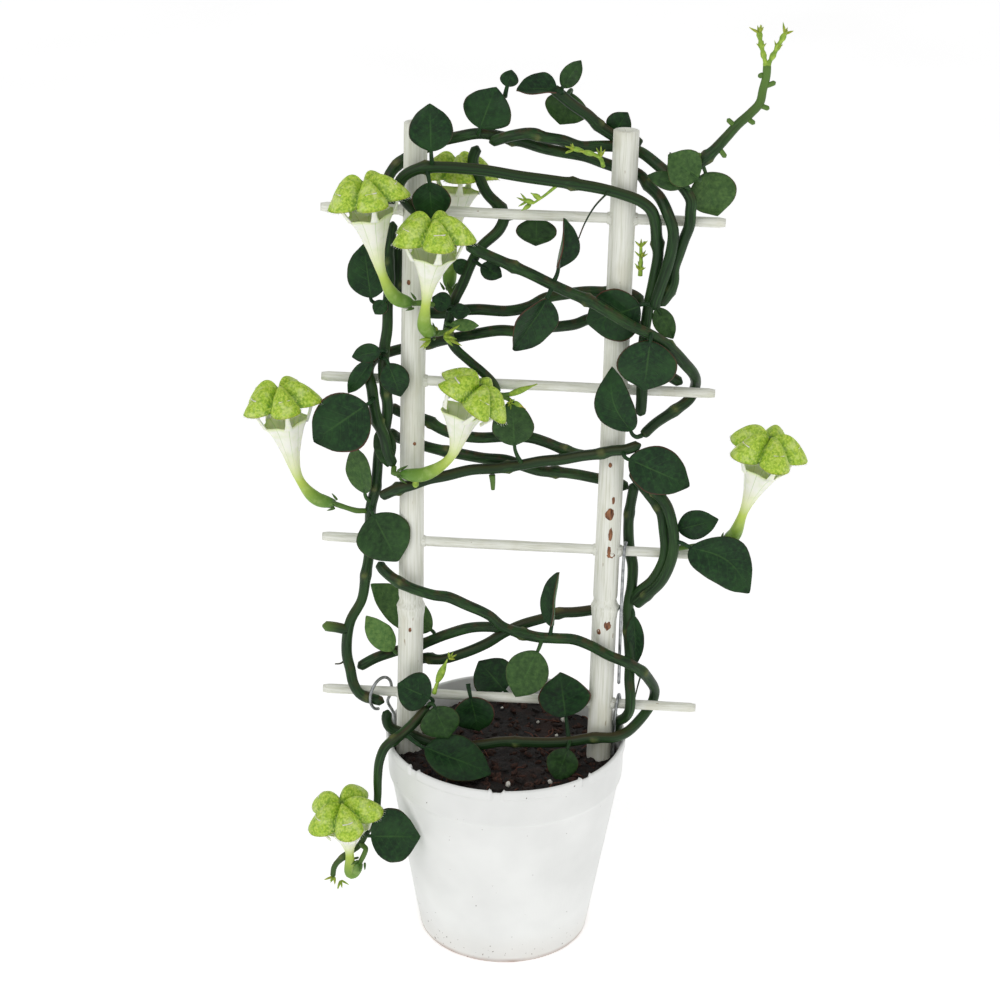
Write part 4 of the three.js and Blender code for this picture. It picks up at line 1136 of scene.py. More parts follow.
# foot: the stalk on the stem, heel and bulb: ends of the swollen base, waist: top of the narrow
# tube, mouth: middle of the funnel's mouth, crown: middle of the umbrella.
FLOWERS = {
    "flower_1": {
        "foot": (-0.043, -0.0135, 0.334), "heel": (-0.047, -0.0145, 0.334), "bulb": (-0.054, -0.017, 0.337),
        "waist": (-0.06, -0.022, 0.35), "mouth": (-0.065, -0.027, 0.379), "crown": (-0.067, -0.028, 0.391),
    },
    "flower_2": {
        "foot": (-0.032, -0.012, 0.32), "heel": (-0.037, -0.018, 0.321), "bulb": (-0.04, -0.024, 0.326),
        "waist": (-0.039, -0.029, 0.34), "mouth": (-0.036, -0.033, 0.363), "crown": (-0.036, -0.034, 0.376),
    },
    "flower_3": {
        "foot": (-0.074, -0.002, 0.225), "heel": (-0.085, -0.004, 0.229), "bulb": (-0.093, -0.006, 0.232),
        "waist": (-0.101, -0.008, 0.243), "mouth": (-0.107, -0.011, 0.273), "crown": (-0.109, -0.012, 0.287),
    },
    "flower_4": {
        "foot": (-0.055, -0.014, 0.25), "heel": (-0.051, -0.015, 0.25), "bulb": (-0.04, -0.019, 0.252),
        "waist": (-0.027, -0.022, 0.263), "mouth": (-0.022, -0.023, 0.286), "crown": (-0.015, -0.023, 0.297),
    },
    "flower_5": {
        "foot": (0.101, -0.0035, 0.218), "heel": (0.104, -0.0045, 0.22), "bulb": (0.107, -0.006, 0.223),
        "waist": (0.111, -0.011, 0.238), "mouth": (0.118, -0.016, 0.263), "crown": (0.12, -0.018, 0.276),
    },
    "flower_6": {
        "foot": (-0.065, -0.035, 0.058), "heel": (-0.068, -0.035, 0.05), "bulb": (-0.072, -0.035, 0.044),
        "waist": (-0.073, -0.036, 0.056), "mouth": (-0.074, -0.037, 0.071), "crown": (-0.076, -0.041, 0.085),
    },
    "flower_7": {
        "foot": (-0.03, 0.008, 0.331), "heel": (-0.032, 0.01, 0.335), "bulb": (-0.032, 0.012, 0.341),
        "waist": (-0.031, 0.015, 0.357), "mouth": (-0.03, 0.017, 0.38), "crown": (-0.03, 0.018, 0.392), "spin": -6,
    },
}


# ---- where things grow -------------------------------------------------------------------

# Leaves paler than the rest: how far they are towards light green.
LIGHT_LEAVES = {
    "leaf_07": 0.2,
    "leaf_08": 0.3,
    "leaf_09": 0.35,
    "leaf_10": 0.1,
    "leaf_22": 0.12,
    "leaf_19": 0.25,
    "leaf_25": 0.08,
    "leaf_28": 0.35,
    "leaf_26": 0.3,
}

SMALL_LEAVES = [
    {"base": (0.002, -0.009, 0.262), "tip": (0, -0.011, 0.287), "width": 0.02, "light": 0.15},
    {"base": (-0.055, 0.006, 0.146), "tip": (-0.07, 0.004, 0.166), "width": 0.013, "light": 0.75},
    {"base": (0.001, 0.006, 0.127), "tip": (-0.014, 0.008, 0.143), "width": 0.022},
    {"base": (0.033, -0.016, 0.112), "tip": (0.028, -0.024, 0.096), "width": 0.016, "light": 0.1},
    {"base": (-0.007, 0.002, 0.431), "tip": (-0.005, 0.002, 0.4395), "width": 0.0085, "curl": 0.0},
    {"base": (0.0168, 0.006, 0.43), "tip": (0.0255, 0.006, 0.444), "width": 0.009, "light": 0.1},
    {"base": (0.0405, 0.013, 0.408), "tip": (0.0475, 0.013, 0.42), "width": 0.012},
    {"base": (0.0765, -0.009, 0.392), "tip": (0.058, -0.01, 0.397), "width": 0.0085, "light": 0.15},
    {"base": (0.064, -0.002, 0.335), "tip": (0.0735, -0.004, 0.319), "width": 0.01, "light": 0.2},
    {"base": (-0.06, -0.008, 0.3088), "tip": (-0.0755, -0.009, 0.305), "width": 0.009},
    {"base": (-0.064, -0.009, 0.3065), "tip": (-0.0775, -0.01, 0.287), "width": 0.0085, "fold": 0.5},
    {"base": (-0.0177, -0.004, 0.351), "tip": (-0.0065, -0.005, 0.3455), "width": 0.009},
    {"base": (-0.029, -0.008, 0.331), "tip": (-0.038, -0.01, 0.336), "width": 0.0095},
    {"base": (-0.0308, -0.008, 0.329), "tip": (-0.0205, -0.009, 0.3295), "width": 0.0075},
    {"base": (-0.0313, -0.007, 0.3222), "tip": (-0.0165, -0.008, 0.3226), "width": 0.006, "light": 0.55},
    {"base": (0.0612, 0.002, 0.178), "tip": (0.0645, 0, 0.15), "width": 0.009, "fold": 0.4},
    {"base": (-0.0305, 0.002, 0.3505), "tip": (-0.0205, 0, 0.3455), "width": 0.0075},
    {"base": (-0.0605, -0.003, 0.332), "tip": (-0.0652, -0.005, 0.325), "width": 0.0075},
    {"base": (-0.062, -0.004, 0.272), "tip": (-0.058, -0.012, 0.252), "width": 0.011, "light": 0.1},
    {"base": (0.078, -0.006, 0.224), "tip": (0.099, -0.009, 0.232), "width": 0.014},
]

# Buds: start, end, thickness and how yellow the end is.
BUDS = [
    ((0.0105, -0.011, 0.3845), (0.006, -0.013, 0.3875), 0.0014, 0.0),
    ((0.0075, -0.011, 0.3825), (0.0015, -0.013, 0.3845), 0.0014, 0.0),
    ((0.006, -0.01, 0.3815), (0.002, -0.012, 0.379), 0.0012, 0.0),
    ((-0.0325, -0.016, 0.1425), (-0.0275, -0.018, 0.156), 0.0021, 0.0),
    ((-0.0025, -0.0075, 0.289), (0.0115, -0.0095, 0.296), 0.0017, 0.1),
    ((-0.0005, -0.008, 0.2862), (0.0065, -0.0095, 0.2832), 0.0017, 1.0),
    ((0.034, -0.012, 0.406), (0.027, -0.015, 0.408), 0.0014, 0.2),
    ((0.029, -0.013, 0.4075), (0.021, -0.0155, 0.4098), 0.0013, 0.2),
    ((-0.0445, -0.0135, 0.2435), (-0.044, -0.0165, 0.2485), 0.0018, 0.2),
]

# Tufts of bracts: place, direction and size.
TUFTS = [
    ((0.0365, -0.011, 0.405), (-0.4, -0.4, 1), 0.004),
    ((0.0245, -0.0145, 0.4085), (-1, -0.2, 0.3), 0.0035),
    ((0.0568, -0.004, 0.3515), (0, -0.2, 1), 0.0036),
    ((0.0568, -0.004, 0.3575), (0, -0.1, 1), 0.0036),
    ((0.0565, -0.004, 0.3625), (0, 0, 1), 0.0038),
    ((-0.0815, -0.031, 0.0385), (-0.6, -0.3, -0.7), 0.0045),
    ((-0.078, -0.031, 0.0365), (0.3, -0.3, -0.8), 0.004),
    ((0.004, -0.011, 0.383), (-1, -0.2, 0.5), 0.0042),
    ((-0.0265, -0.018, 0.1565), (0.6, -0.2, 0.9), 0.0035),
    ((-0.0008, -0.009, 0.286), (0.2, -1, 0.2), 0.0032),
    ((-0.038, -0.0205, 0.319), (-1, -0.4, -0.1), 0.006),
    ((-0.031, -0.0195, 0.3205), (1, -0.4, 0.1), 0.007),
    ((-0.0715, -0.034, 0.047), (0.5, -0.4, -0.8), 0.004),
    ((-0.036, -0.013, 0.3225), (-0.4, -0.6, -1), 0.004),
]

# Thin stalks: route, radius and whether they are young (1) or not (0).
STALKS = [
    (((0.0175, -0.0095, 0.3905), (0.0122, -0.0115, 0.3862), (0.0069, -0.0115, 0.3822)), 0.0008, 1),
    (((0.0568, -0.0035, 0.3485), (0.0568, -0.004, 0.356), (0.0564, -0.004, 0.364)), 0.0011, 1),
    (((0.038, -0.0095, 0.4), (0.0363, -0.0115, 0.4045), (0.0282, -0.014, 0.4078)), 0.001, 1),
    (((-0.007, -0.007, 0.2885), (-0.003, -0.008, 0.288), (0, -0.0085, 0.2865)), 0.0016, 0),
    (((-0.007, -0.007, 0.289), (-0.0045, -0.0075, 0.289), (-0.0015, -0.008, 0.29)), 0.0016, 0),
    (((-0.0089, -0.004, 0.2475), (-0.0085, -0.004, 0.244), (-0.0083, -0.004, 0.24)), 0.0016, 0),
    (((-0.034, -0.0155, 0.136), (-0.033, -0.016, 0.14), (-0.032, -0.0165, 0.1435)), 0.0012, 1),
]

TENDRILS = [
    (
        (
            (0.041, -0.0125, 0.3895), (0.035, -0.012, 0.3824), (0.0307, -0.01, 0.3738), (0.0279, -0.009, 0.3656),
        ),
        0.0005,
    ),
    (
        (
            (0.0665, -0.0045, 0.396), (0.0669, -0.0045, 0.4), (0.0676, -0.0045, 0.4065),
        ),
        0.0006,
    ),
    (
        (
            (0.0672, 0.001, 0.146), (0.0655, 0.001, 0.138), (0.0642, 0.001, 0.13),
        ),
        0.0005,
    ),
    (
        (
            (-0.079, 0.001, 0.145), (-0.082, 0, 0.142), (-0.085, 0, 0.1415),
        ),
        0.0006,
    ),
]


# ---- stems -------------------------------------------------------------------------------

STEM_RADIUS = 0.0026
# Strands that thin out towards their far end, by piece and strand: the last radius.
TAPERED = {("vine_top_back", 3): 0.0019, ("trailing_shoot", 0): 0.0014, ("vine_inner", 0): 0.0022}
# Strands whose skin is young and paler, by piece and strand: how much at the far end.
PALER = {("vine_top_back", 3): 0.6, ("trailing_shoot", 0): 0.25, ("vine_left", 1): 0.5}

STEM_ROUTES = {
    name: [smooth_route(route, 0.0017) for route in strands] for name, strands in VINES.items()
}
ALL_STEM_POINTS = [p for strands in STEM_ROUTES.values() for points in strands for p in points[::2]]


def nearest_stem(place):
    return min(ALL_STEM_POINTS, key=lambda p: (p - place).length_squared)


def stem_joints(length, draw):
    """Where along a strand its leaf joints sit, 36 to 75 mm apart."""
    joints = []
    at = draw.uniform(0.012, 0.035)
    while at < length - 0.006:
        joints.append((at, draw.uniform(0, 2 * math.pi)))
        at += draw.uniform(0.036, 0.075)
    return joints


def stem_strand(shell, points, seed, far_radius=STEM_RADIUS, paler=0.0):
    """One strand: round, slightly uneven, swollen and scarred at each leaf joint."""
    draw = random.Random(seed)
    length = route_length(points)
    joints = stem_joints(length, draw)
    loose = [
        p + Vector((wobble(i * 0.09, seed), wobble(i * 0.09, seed, 4), wobble(i * 0.09, seed, 8))) * 0.0004
        for i, p in enumerate(points)
    ]

    def near_joint(gone):
        return min(joints, key=lambda j: abs(j[0] - gone), default=(9, 0))

    def scar_at(gone, angle):
        at, turn = near_joint(gone)
        beside = abs(math.cos(angle - turn))
        return math.exp(-(((gone - at) / 0.0013) ** 2)) * smoothstep(0.8, 0.96, beside)

    def radius_at(gone, angle):
        at, _ = near_joint(gone)
        plain = STEM_RADIUS + (far_radius - STEM_RADIUS) * smoothstep(0.0, length, gone)
        rough = 0.05 * wobble(math.cos(angle), math.sin(angle), gone * 55 + seed)
        uneven = 1 + 0.09 * wobble(gone * 38, seed) + rough
        swell = 0.00042 * math.exp(-(((gone - at) / 0.0024) ** 2)) + 0.00055 * scar_at(gone, angle)
        return (plain * uneven + swell) * round_ends(length, far_radius, gone)

    def tone(gone, angle, out):
        age = paler * smoothstep(0.3 * length, length, gone)
        blush = smoothstep(0.1, 0.8, out.normalized().z) * 0.9
        return {"tone": (age, 0.35 * scar_at(gone, angle), blush)}

    bar(shell, loose, radius_at, 14, tone=tone)


def make_stems():
    for number, (name, strands) in enumerate(STEM_ROUTES.items()):
        shell = Shell(STEM_SKIN, YOUNG_SKIN)
        for strand, points in enumerate(strands):
            far = TAPERED.get((name, strand), STEM_RADIUS)
            stem_strand(shell, points, number * 10 + strand, far, PALER.get((name, strand), 0.0))
        if name == "vine_top_back":
            tall_tip_twigs(shell)
        shell.piece(f"stem_{name}", "stem", LADDER, replaces=(name,))


def spike(shell, start, end, thick, skin=0, sides=7, tone=(0.6, 0, 0)):
    """A short tapering point, such as a bract or a sepal."""
    start = Vector(start)
    end = Vector(end)
    length = (end - start).length
    points = [start.lerp(end, k / 6) for k in range(7)]

    def radius_at(gone, angle):
        t = min(1.0, gone / length)
        return thick * (0.55 + 1.6 * t * (1 - t)) * (1 - t) ** 0.6 + 0.00008

    bar(shell, points, radius_at, sides, skin, tone=lambda gone, angle, out: {"tone": tone})


def bract_tuft(shell, place, along, size, seed, skin=1):
    """A tuft of small pointed bracts round the end of a shoot."""
    draw = random.Random(seed)
    along = Vector(along).normalized()
    side = along.orthogonal().normalized()
    for k in range(6):
        out = Matrix.Rotation(k * 1.047 + draw.uniform(-0.3, 0.3), 3, along) @ side
        reach = along * draw.uniform(0.5, 1.0) + out * draw.uniform(0.45, 0.85)
        base = Vector(place) + out * size * 0.1
        spike(shell, base, base + reach * size, size * 0.17, skin, tone=(0, draw.uniform(0, 0.25), 0))


def tall_tip_twigs(shell):
    """The two flowering twigs on the tall tip, with their bracts, and the stubs below."""
    for k, route in enumerate(TALL_TIP_TWIGS):
        points = smooth_route(route, 0.0012)
        bar(shell, points, lambda gone, angle: 0.0012 + 0.0003 * math.sin(gone * 1400), 10, 1,
            tone=lambda gone, angle, out: {"tone": (0, 0, 0)})
        end = points[-1]
        travel = end - points[-3]
        bract_tuft(shell, end - travel.normalized() * 0.001, travel, 0.0042, 30 + k)
        bract_tuft(shell, points[len(points) // 2], travel, 0.003, 40 + k)
    for start, end in TALL_TIP_STUBS:
        points = [Vector(start).lerp(Vector(end), k / 8) for k in range(9)]
        length = route_length(points)
        bar(shell, points, lambda gone, angle, n=length: 0.0012 * round_ends(n, 0.0011, gone), 9,
            tone=lambda gone, angle, out: {"tone": (0.6, 0, 0)})


TALL_TIP_TWIGS = (
    ((0.108, -0.003, 0.446), (0.105, -0.003, 0.4555), (0.1035, -0.003, 0.462)),
    ((0.108, -0.003, 0.446), (0.112, -0.003, 0.4545), (0.1155, -0.003, 0.462)),
)
TALL_TIP_STUBS = (
    ((0.096, -0.003, 0.419), (0.092, -0.004, 0.4225)),
    ((0.108, -0.003, 0.4375), (0.1125, -0.003, 0.4395)),
    ((0.106, -0.003, 0.429), (0.1105, -0.003, 0.4275)),
    ((0.089, -0.004, 0.4095), (0.0925, -0.004, 0.405)),
    ((0.1, -0.003, 0.4235), (0.1045, -0.003, 0.4205)),
    ((0.083, -0.004, 0.404), (0.0795, -0.005, 0.4065)),
    ((0.107, -0.003, 0.443), (0.1045, -0.003, 0.4415)),
)


# ---- leaves ------------------------------------------------------------------------------

LEAF_THICK = 0.0017
ALONG = 22
ACROSS = 14


def outline(t):
    """Half the width of a leaf t of the way along it, as a part of its width."""
    round_part = math.sin(math.pi * min(1.0, t) ** 0.85) ** 0.66 / 2
    return round_part * (1 - 0.25 * smoothstep(0.8, 1.0, t))


def leaf_blade(shell, seed, base, tip, width, face=FRONT, fold=0.12, bow=0.0, light=0.0, curl=0.07):
    """A fleshy blade: creased along the midrib, wavy at the edge, pointed, on a short stalk that
    grows from the nearest stem."""
    draw = random.Random(seed * 7 + 1)
    base = Vector(base)
    run = Vector(tip) - base
    reach = run.length
    y_axis = run.normalized()
    x_axis = y_axis.cross(Vector(face)).normalized()
    z_axis = x_axis.cross(y_axis)
    place = Matrix((x_axis, y_axis, z_axis)).transposed()
    petiole = min(0.003, reach * 0.12)
    wave = draw.uniform(0.5, 1.0)
    phase = draw.uniform(0, 6.28)
    lopsided = draw.uniform(-0.06, 0.06)
    blush = draw.uniform(0.15, 0.9)

    def spot_on(u, t, upper):
        half = width * outline(t) * (1 + lopsided * (1 if u > 0 else -1))
        half *= 1 + 0.035 * wobble(t * 5, seed, 1 if u > 0 else 4)
        x = u * half
        z = fold * abs(x) - curl * reach * t * t
        z += wave * 0.0013 * math.sin(t * 7 + phase + (1.3 if u > 0 else 0)) * u * u * min(1.0, width / 0.02)
        z += 0.0011 * wobble(x * 90 + seed, t * 2.2, seed * 0.3)
        z -= 0.00045 * math.exp(-((u / 0.1) ** 2)) * (1 - t)
        thick = LEAF_THICK * (0.32 + 0.68 * math.sqrt(max(0.0, 1 - u * u))) * (1 - 0.5 * t)
        edge = 0.0 if abs(u) > 0.999 or t in (0.0, 1.0) else 0.5
        z += thick * edge * (1 if upper else -1)
        swing = bow * math.sin(math.pi * t)
        local = Vector((x - swing, petiole + t * (reach - petiole), z))
        return shell.point(
            base + place @ local, blade=(u, t, draw.random()), tone=(1.0 if upper else 0.0, light, blush)
        )

    rings = []
    for k in range(ALONG + 1):
        t = 0.5 - 0.5 * math.cos(math.pi * (0.02 + 0.975 * k / ALONG))
        us = [-math.cos(math.pi * i / ACROSS) for i in range(ACROSS + 1)]
        top = [spot_on(u, t, True) for u in us]
        low = [spot_on(u, t, False) for u in reversed(us[1:-1])]
        rings.append(top + low)
    shell.join([list(reversed(r)) for r in rings])
    start = nearest_stem(base)
    if (start - base).length > 0.02:
        start = base - y_axis * 0.004 - z_axis * 0.002
    inside = base + y_axis * (petiole + 0.004) + z_axis * (-0.0006)
    middle = start.lerp(base, 0.6) - y_axis * 0.0005
    points = smooth_route([start, middle, base + y_axis * petiole * 0.4, inside], 0.0012)
    length = route_length(points)
    bar(
        shell,
        points,
        lambda gone, angle: 0.0012 - 0.0005 * gone / length,
        9,
        tone=lambda gone, angle, out: {"tone": (1.0, light * 0.5, 0.2), "blade": (0.5, 1.0, 0)},
    )


def make_leaves():
    for number, (node, leaf) in enumerate(LEAVES.items()):
        shell = Shell(LEAF_SKIN)
        leaf_blade(shell, number, light=LIGHT_LEAVES.get(node, 0.0), **leaf)
        shell.piece(f"blade_{node}", "leaf", LADDER, replaces=(node,))
    for number, leaf in enumerate(SMALL_LEAVES):
        shell = Shell(LEAF_SKIN)
        leaf_blade(shell, number + 50, **leaf)
        shell.piece(f"small_leaf_{number + 1:02d}", "leaf", LADDER)


# ---- flowers -----------------------------------------------------------------------------

LOBES = 5
CANOPY_RADIUS = 0.0196
THROAT_RADIUS = 0.0104
CANOPY_SIDES = 120
CANOPY_RINGS = 14
EDGE_HAIRS = 96


def canopy_edge(angle):
    """How far out the umbrella reaches at an angle: five round lobes with deep notches."""
    return CANOPY_RADIUS * (0.6 + 0.4 * abs(math.cos(LOBES / 2 * angle)) ** 0.8)


def canopy_height(angle, far, seed):
    """The height of the umbrella's skin, far being 0 in the middle and 1 at the edge."""
    lobe = abs(math.cos(LOBES / 2 * angle))
    ridge = 0.0052 * lobe * math.sin(math.pi * min(1.0, far) ** 0.75)
    droop = -0.0062 * far**2.6
    boss = 0.0012 * math.exp(-((far * CANOPY_RADIUS / 0.0011) ** 2))
    ruffle = 0.0006 * far * wobble(math.cos(angle) * 2.6 + seed, math.sin(angle) * 2.6, far * 2)
    return ridge + droop + boss + ruffle


def canopy(shell, matrix, rise, seed):
    def spot_on(k, i, upper):
        angle = 2 * math.pi * i / CANOPY_SIDES
        far = 0.03 + 0.97 * (k / CANOPY_RINGS) ** 0.85
        out = canopy_edge(angle) * far
        thick = 0.0 if k == CANOPY_RINGS else 0.0004
        height = rise + canopy_height(angle, far, seed) + (thick if upper else -thick)
        # The notch mask marks the creases between the lobes, which the petal material paints darker: partly the
        # tissue's own colour, partly painted shade.
        notch_tissue_and_shade = math.exp(-((math.cos(LOBES / 2 * angle) / 0.3) ** 2)) * smoothstep(0.1, 0.5, far)
        place = matrix @ Vector((math.cos(angle) * out, math.sin(angle) * out, height))
        return shell.point(place, petal=(angle, far, notch_tissue_and_shade))

    turn = range(CANOPY_SIDES)
    low = [[spot_on(k, i, False) for i in turn] for k in range(CANOPY_RINGS)]
    high = [[spot_on(k, i, True) for i in turn] for k in range(CANOPY_RINGS, -1, -1)]
    shell.join([list(reversed(r)) for r in low + high], 1)


def margin_hairs(shell, matrix, rise, seed):
    """Fine white hairs 0.9 to 1.7 mm long that stand along the umbrella's edge."""
    draw = random.Random(seed)
    for k in range(EDGE_HAIRS):
        angle = 2 * math.pi * (k + draw.uniform(-0.3, 0.3)) / EDGE_HAIRS
        out = canopy_edge(angle)
        height = rise + canopy_height(angle, 1.0, seed)
        start = Vector((math.cos(angle) * out * 0.99, math.sin(angle) * out * 0.99, height))
        away = Vector((math.cos(angle), math.sin(angle), draw.uniform(-1.1, 0.2))).normalized()
        end = start + away * draw.uniform(0.0009, 0.0017)
        points = [matrix @ start, matrix @ start.lerp(end, 0.5), matrix @ end]
        bar(shell, points, lambda gone, angle: 0.00011 if gone < 0.0006 else 0.00004, 3, 0,
            tone=lambda gone, angle, out: {"petal": (1.0, 0.8, 0)})


def claws(shell, matrix, rise):
    """The five folded petal stalks that carry the umbrella over the funnel's mouth."""
    for k in range(LOBES):
        angle = 2 * math.pi * k / LOBES
        out = Vector((math.cos(angle), math.sin(angle), 0))
        low = THROAT_RADIUS * 1.08
        under = rise + canopy_height(angle, 0.7, 0) - 0.0004
        route = [out * (low - 0.0006) - UP * 0.0012, out * (low + 0.0018) + UP * rise * 0.3]
        route += [out * (low + 0.0034) + UP * rise * 0.62, out * CANOPY_RADIUS * 0.7 + UP * under]
        points = [matrix @ p for p in smooth_route(route, 0.0009)]
        length = route_length(points)

        def size(gone, turn, whole=length):
            t = gone / whole
            wide = 0.0021 - 0.0042 * t * (1 - t) * 1.25 + 0.0006 * t
            return (wide, 0.00042 + 0.00035 * abs(math.sin(turn)))

        across = (matrix.to_3x3() @ Vector((-math.sin(angle), math.cos(angle), 0))).normalized()
        bar(shell, points, size, 10, 0, side=across,
            tone=lambda gone, turn, o: {"petal": (0.31, 0.9, 0)})


def tube_and_funnel(shell, matrix, heel, bulb, waist, mouth):
    """Swollen base, narrow bent tube and five-cornered funnel, as one skin that turns inwards
    at the mouth."""
    route = [mouth, waist, bulb, heel]
    legs = [(b - a).length for a, b in zip(route, route[1:])]
    marks = (0.0, legs[0], legs[0] + legs[1], sum(legs))
    points = smooth_route(route, 0.0009)
    whole = route_length(points)
    shape = ((0.0, THROAT_RADIUS), (0.15, 0.0082), (0.35, 0.0062), (0.6, 0.0040), (0.82, 0.0027), (1.0, 0.0021))

    def plain_radius(gone):
        gone = gone * marks[3] / whole
        if gone < marks[1]:
            t = gone / marks[1]
            for (a, low), (b, high) in zip(shape, shape[1:]):
                if t <= b:
                    return low + (high - low) * (t - a) / (b - a)
        if gone < marks[2]:
            t = (gone - marks[1]) / legs[1]
            return 0.0021 + 0.0012 * smoothstep(0.1, 1.0, t)
        t = (gone - marks[2]) / legs[2]
        return 0.0033 * math.sqrt(max(0.05, 1 - max(0.0, t * 1.12 - 0.25) ** 2))

    def greenness(gone):
        gone = gone * marks[3] / whole
        if gone < marks[1]:
            return 1 - 0.55 * gone / marks[1]
        if gone < marks[2]:
            return 0.45 - 0.3 * (gone - marks[1]) / legs[1]
        return 0.15 * (1 - (gone - marks[2]) / legs[2])

    reference = matrix.to_3x3() @ Vector((1, 0, 0))
    sides = 40
    rings = []
    inner = []
    for here, (gone, travel, across, deep) in zip(points, frames_along(points, reference)):
        corner = math.exp(-gone / 0.006)
        ring = []
        lined = []
        for i in range(sides):
            angle = -2 * math.pi * i / sides
            radius = plain_radius(gone) * (1 + 0.11 * corner * math.cos(LOBES * angle))
            out = across * math.cos(angle) + deep * math.sin(angle)
            stored = (angle, greenness(gone), 0)
            ring.append(shell.point(here + out * radius, petal=stored))
            if gone < legs[0] * 0.75:
                lined.append(shell.point(here + out * (radius - 0.0005), petal=stored))
        rings.append(ring)
        if lined:
            inner.append(lined)
    shell.join([*reversed(inner), *rings], 0)


def sepals(shell, heel, bulb):
    """Five small green sepals round the foot of the swollen base."""
    along = (bulb - heel).normalized()
    side = along.orthogonal().normalized()
    for k in range(LOBES):
        out = Matrix.Rotation(k * 2 * math.pi / LOBES, 3, along) @ side
        start = heel + out * 0.0022 - along * 0.0012
        spike(shell, start, start + out * 0.0024 + along * 0.0036, 0.0008, 2, 8, (0.4, 0, 0))


def make_flower(number, name, foot, heel, bulb, waist, mouth, crown, spin=0):
    shell = Shell(FUNNEL_SKIN, CANOPY_SKIN, STEM_SKIN)
    foot, heel, bulb, waist, mouth, crown = map(Vector, (foot, heel, bulb, waist, mouth, crown))
    axis = (crown - mouth).normalized()
    rise = (crown - mouth).length
    turn = UP.rotation_difference(axis).to_matrix().to_4x4()
    matrix = Matrix.Translation(mouth) @ turn @ Matrix.Rotation(math.radians(spin), 4, "Z")
    canopy(shell, matrix, rise, number * 3.7)
    margin_hairs(shell, matrix, rise, number * 3.7)
    claws(shell, matrix, rise)
    tube_and_funnel(shell, matrix, heel, bulb, waist, mouth)
    sepals(shell, heel, bulb)
    start = nearest_stem(foot)
    stalk = smooth_route([start, foot.lerp(start, 0.4), foot, heel, heel.lerp(bulb, 0.2)], 0.0012)
    bar(shell, stalk, lambda gone, angle: 0.0013 + 0.0002 * wobble(gone * 200, number), 10, 2,
        tone=lambda gone, angle, out: {"tone": (0.55, 0, 0)})
    shell.piece(f"blossom_{name}", "flower", LADDER, replaces=(name,))


def make_flowers():
    for number, (name, flower) in enumerate(FLOWERS.items()):
        make_flower(number, name, **flower)


# ---- buds, young shoots and tendrils -----------------------------------------------------


def thin_stalk(shell, route, radius, skin=0, tone=(0.5, 0, 0)):
    points = smooth_route(route, 0.0012)
    length = route_length(points)
    bar(shell, points, lambda gone, angle: radius * (1 - 0.4 * gone / length), 8, skin,
        tone=lambda gone, angle, out: {"tone": tone})


def bud(shell, start, end, thick, tip=0.0):
    """A closed, spindle-shaped flower bud, with a small yellow end where tip is 1."""
    start = Vector(start)
    end = Vector(end)
    length = (end - start).length
    points = [start.lerp(end, k / 12) for k in range(13)]

    def radius_at(gone, angle):
        t = gone / length
        return thick * (0.35 + 0.65 * math.sin(math.pi * min(1.0, t * 1.1 + 0.05))) * (1 - 0.5 * t * t)

    def tone(gone, angle, out):
        return {"tone": (0, tip * smoothstep(0.5, 0.9, gone / length), 0)}

    bar(shell, points, radius_at, 10, 1, tone=tone)


def make_young_growth():
    shell = Shell(STEM_SKIN, YOUNG_SKIN)
    for start, end, thick, tip in BUDS:
        bud(shell, start, end, thick, tip)
    for number, (place, along, size) in enumerate(TUFTS):
        bract_tuft(shell, place, along, size, number)
    for route, radius, young in STALKS:
        thin_stalk(shell, route, radius, young)
    shell.piece("young_growth", "stem", LADDER)
    dark = Shell(STEM_SKIN)
    for route, radius in TENDRILS:
        thin_stalk(dark, route, radius, 0, (0.0, 0.0, 1.0))
    dark.piece("tendrils", "stem", LADDER)


# ---- the whole plant ---------------------------------------------------------------------

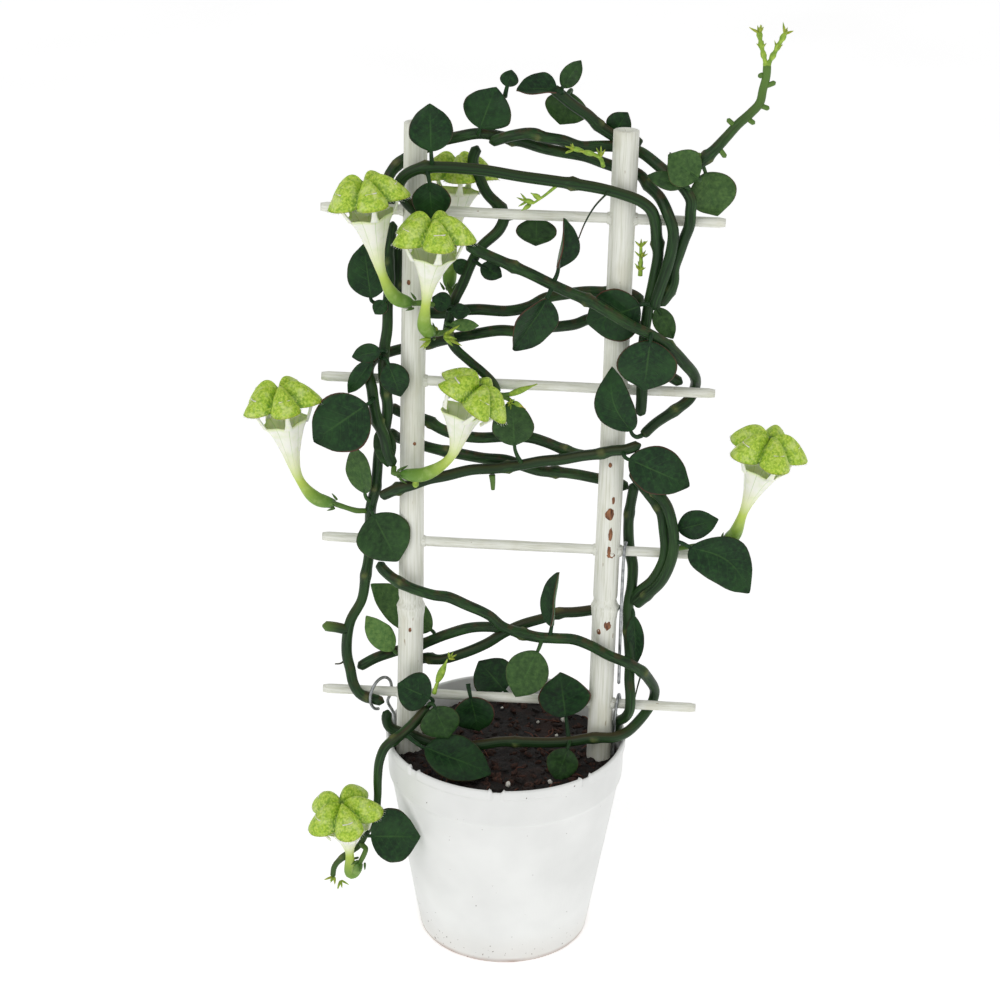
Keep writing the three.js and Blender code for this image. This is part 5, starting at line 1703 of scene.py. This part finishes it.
make_pot()
make_soil()
make_soil_litter()
make_cane("bamboo_cane_left", "cane_left", -CANE_OFF, 0.0064, 0.0054, 0.174, 2.0)
make_cane("bamboo_cane_right", "cane_right", CANE_OFF, 0.0060, 0.0059, 0.179, 6.0)
make_rungs()
make_paint_collars()
make_paint_chips()
make_clips()
make_stems()
make_leaves()
make_flowers()
make_young_growth()


# ---- floor, light and camera -------------------------------------------------------------


def make_floor():
    mesh = bpy.data.meshes.new("backdrop_floor")
    grid = bmesh.new()
    bmesh.ops.create_grid(grid, x_segments=8, y_segments=8, size=12)
    grid.to_mesh(mesh)
    grid.free()
    mesh.materials.append(floor_paper())
    floor = bpy.data.objects.new("backdrop_floor", mesh)
    bpy.context.scene.collection.objects.link(floor)


def soft_box(name, place, aim, size, watts):
    light = bpy.data.lights.new(name, "AREA")
    light.shape = "RECTANGLE"
    light.size = size
    light.size_y = size
    light.energy = watts
    lamp = bpy.data.objects.new(name, light)
    lamp.location = place
    lamp.rotation_euler = (Vector(aim) - Vector(place)).to_track_quat("-Z", "Y").to_euler()
    bpy.context.scene.collection.objects.link(lamp)


def make_light():
    world = bpy.data.worlds.new("white_room")
    world.use_nodes = True
    sky = world.node_tree.nodes["Background"]
    sky.inputs["Color"].default_value = linear("#ffffff")
    sky.inputs["Strength"].default_value = 0.6
    bpy.context.scene.world = world
    soft_box("key_soft_box", (-0.7, -1.0, 1.3), (0, 0, 0.25), 0.9, 5)
    soft_box("fill_soft_box", (1.2, -0.9, 0.8), (0, 0, 0.2), 1.1, 2)


def make_camera():
    lens = bpy.data.cameras.new("camera")
    lens.sensor_width = 36
    lens.lens = 82.28
    lens.clip_start = 0.01
    camera = bpy.data.objects.new("camera", lens)
    roll = Matrix.Rotation(math.radians(0.69), 4, "Z")
    pitch = Matrix.Rotation(math.radians(90 - 23.915), 4, "X")
    camera.matrix_world = Matrix.Translation((-0.0043, -0.9978, 0.6776)) @ pitch @ roll
    bpy.context.scene.collection.objects.link(camera)
    bpy.context.scene.camera = camera


make_floor()
make_light()
make_camera()
bpy.context.scene.view_settings.view_transform = "Standard"
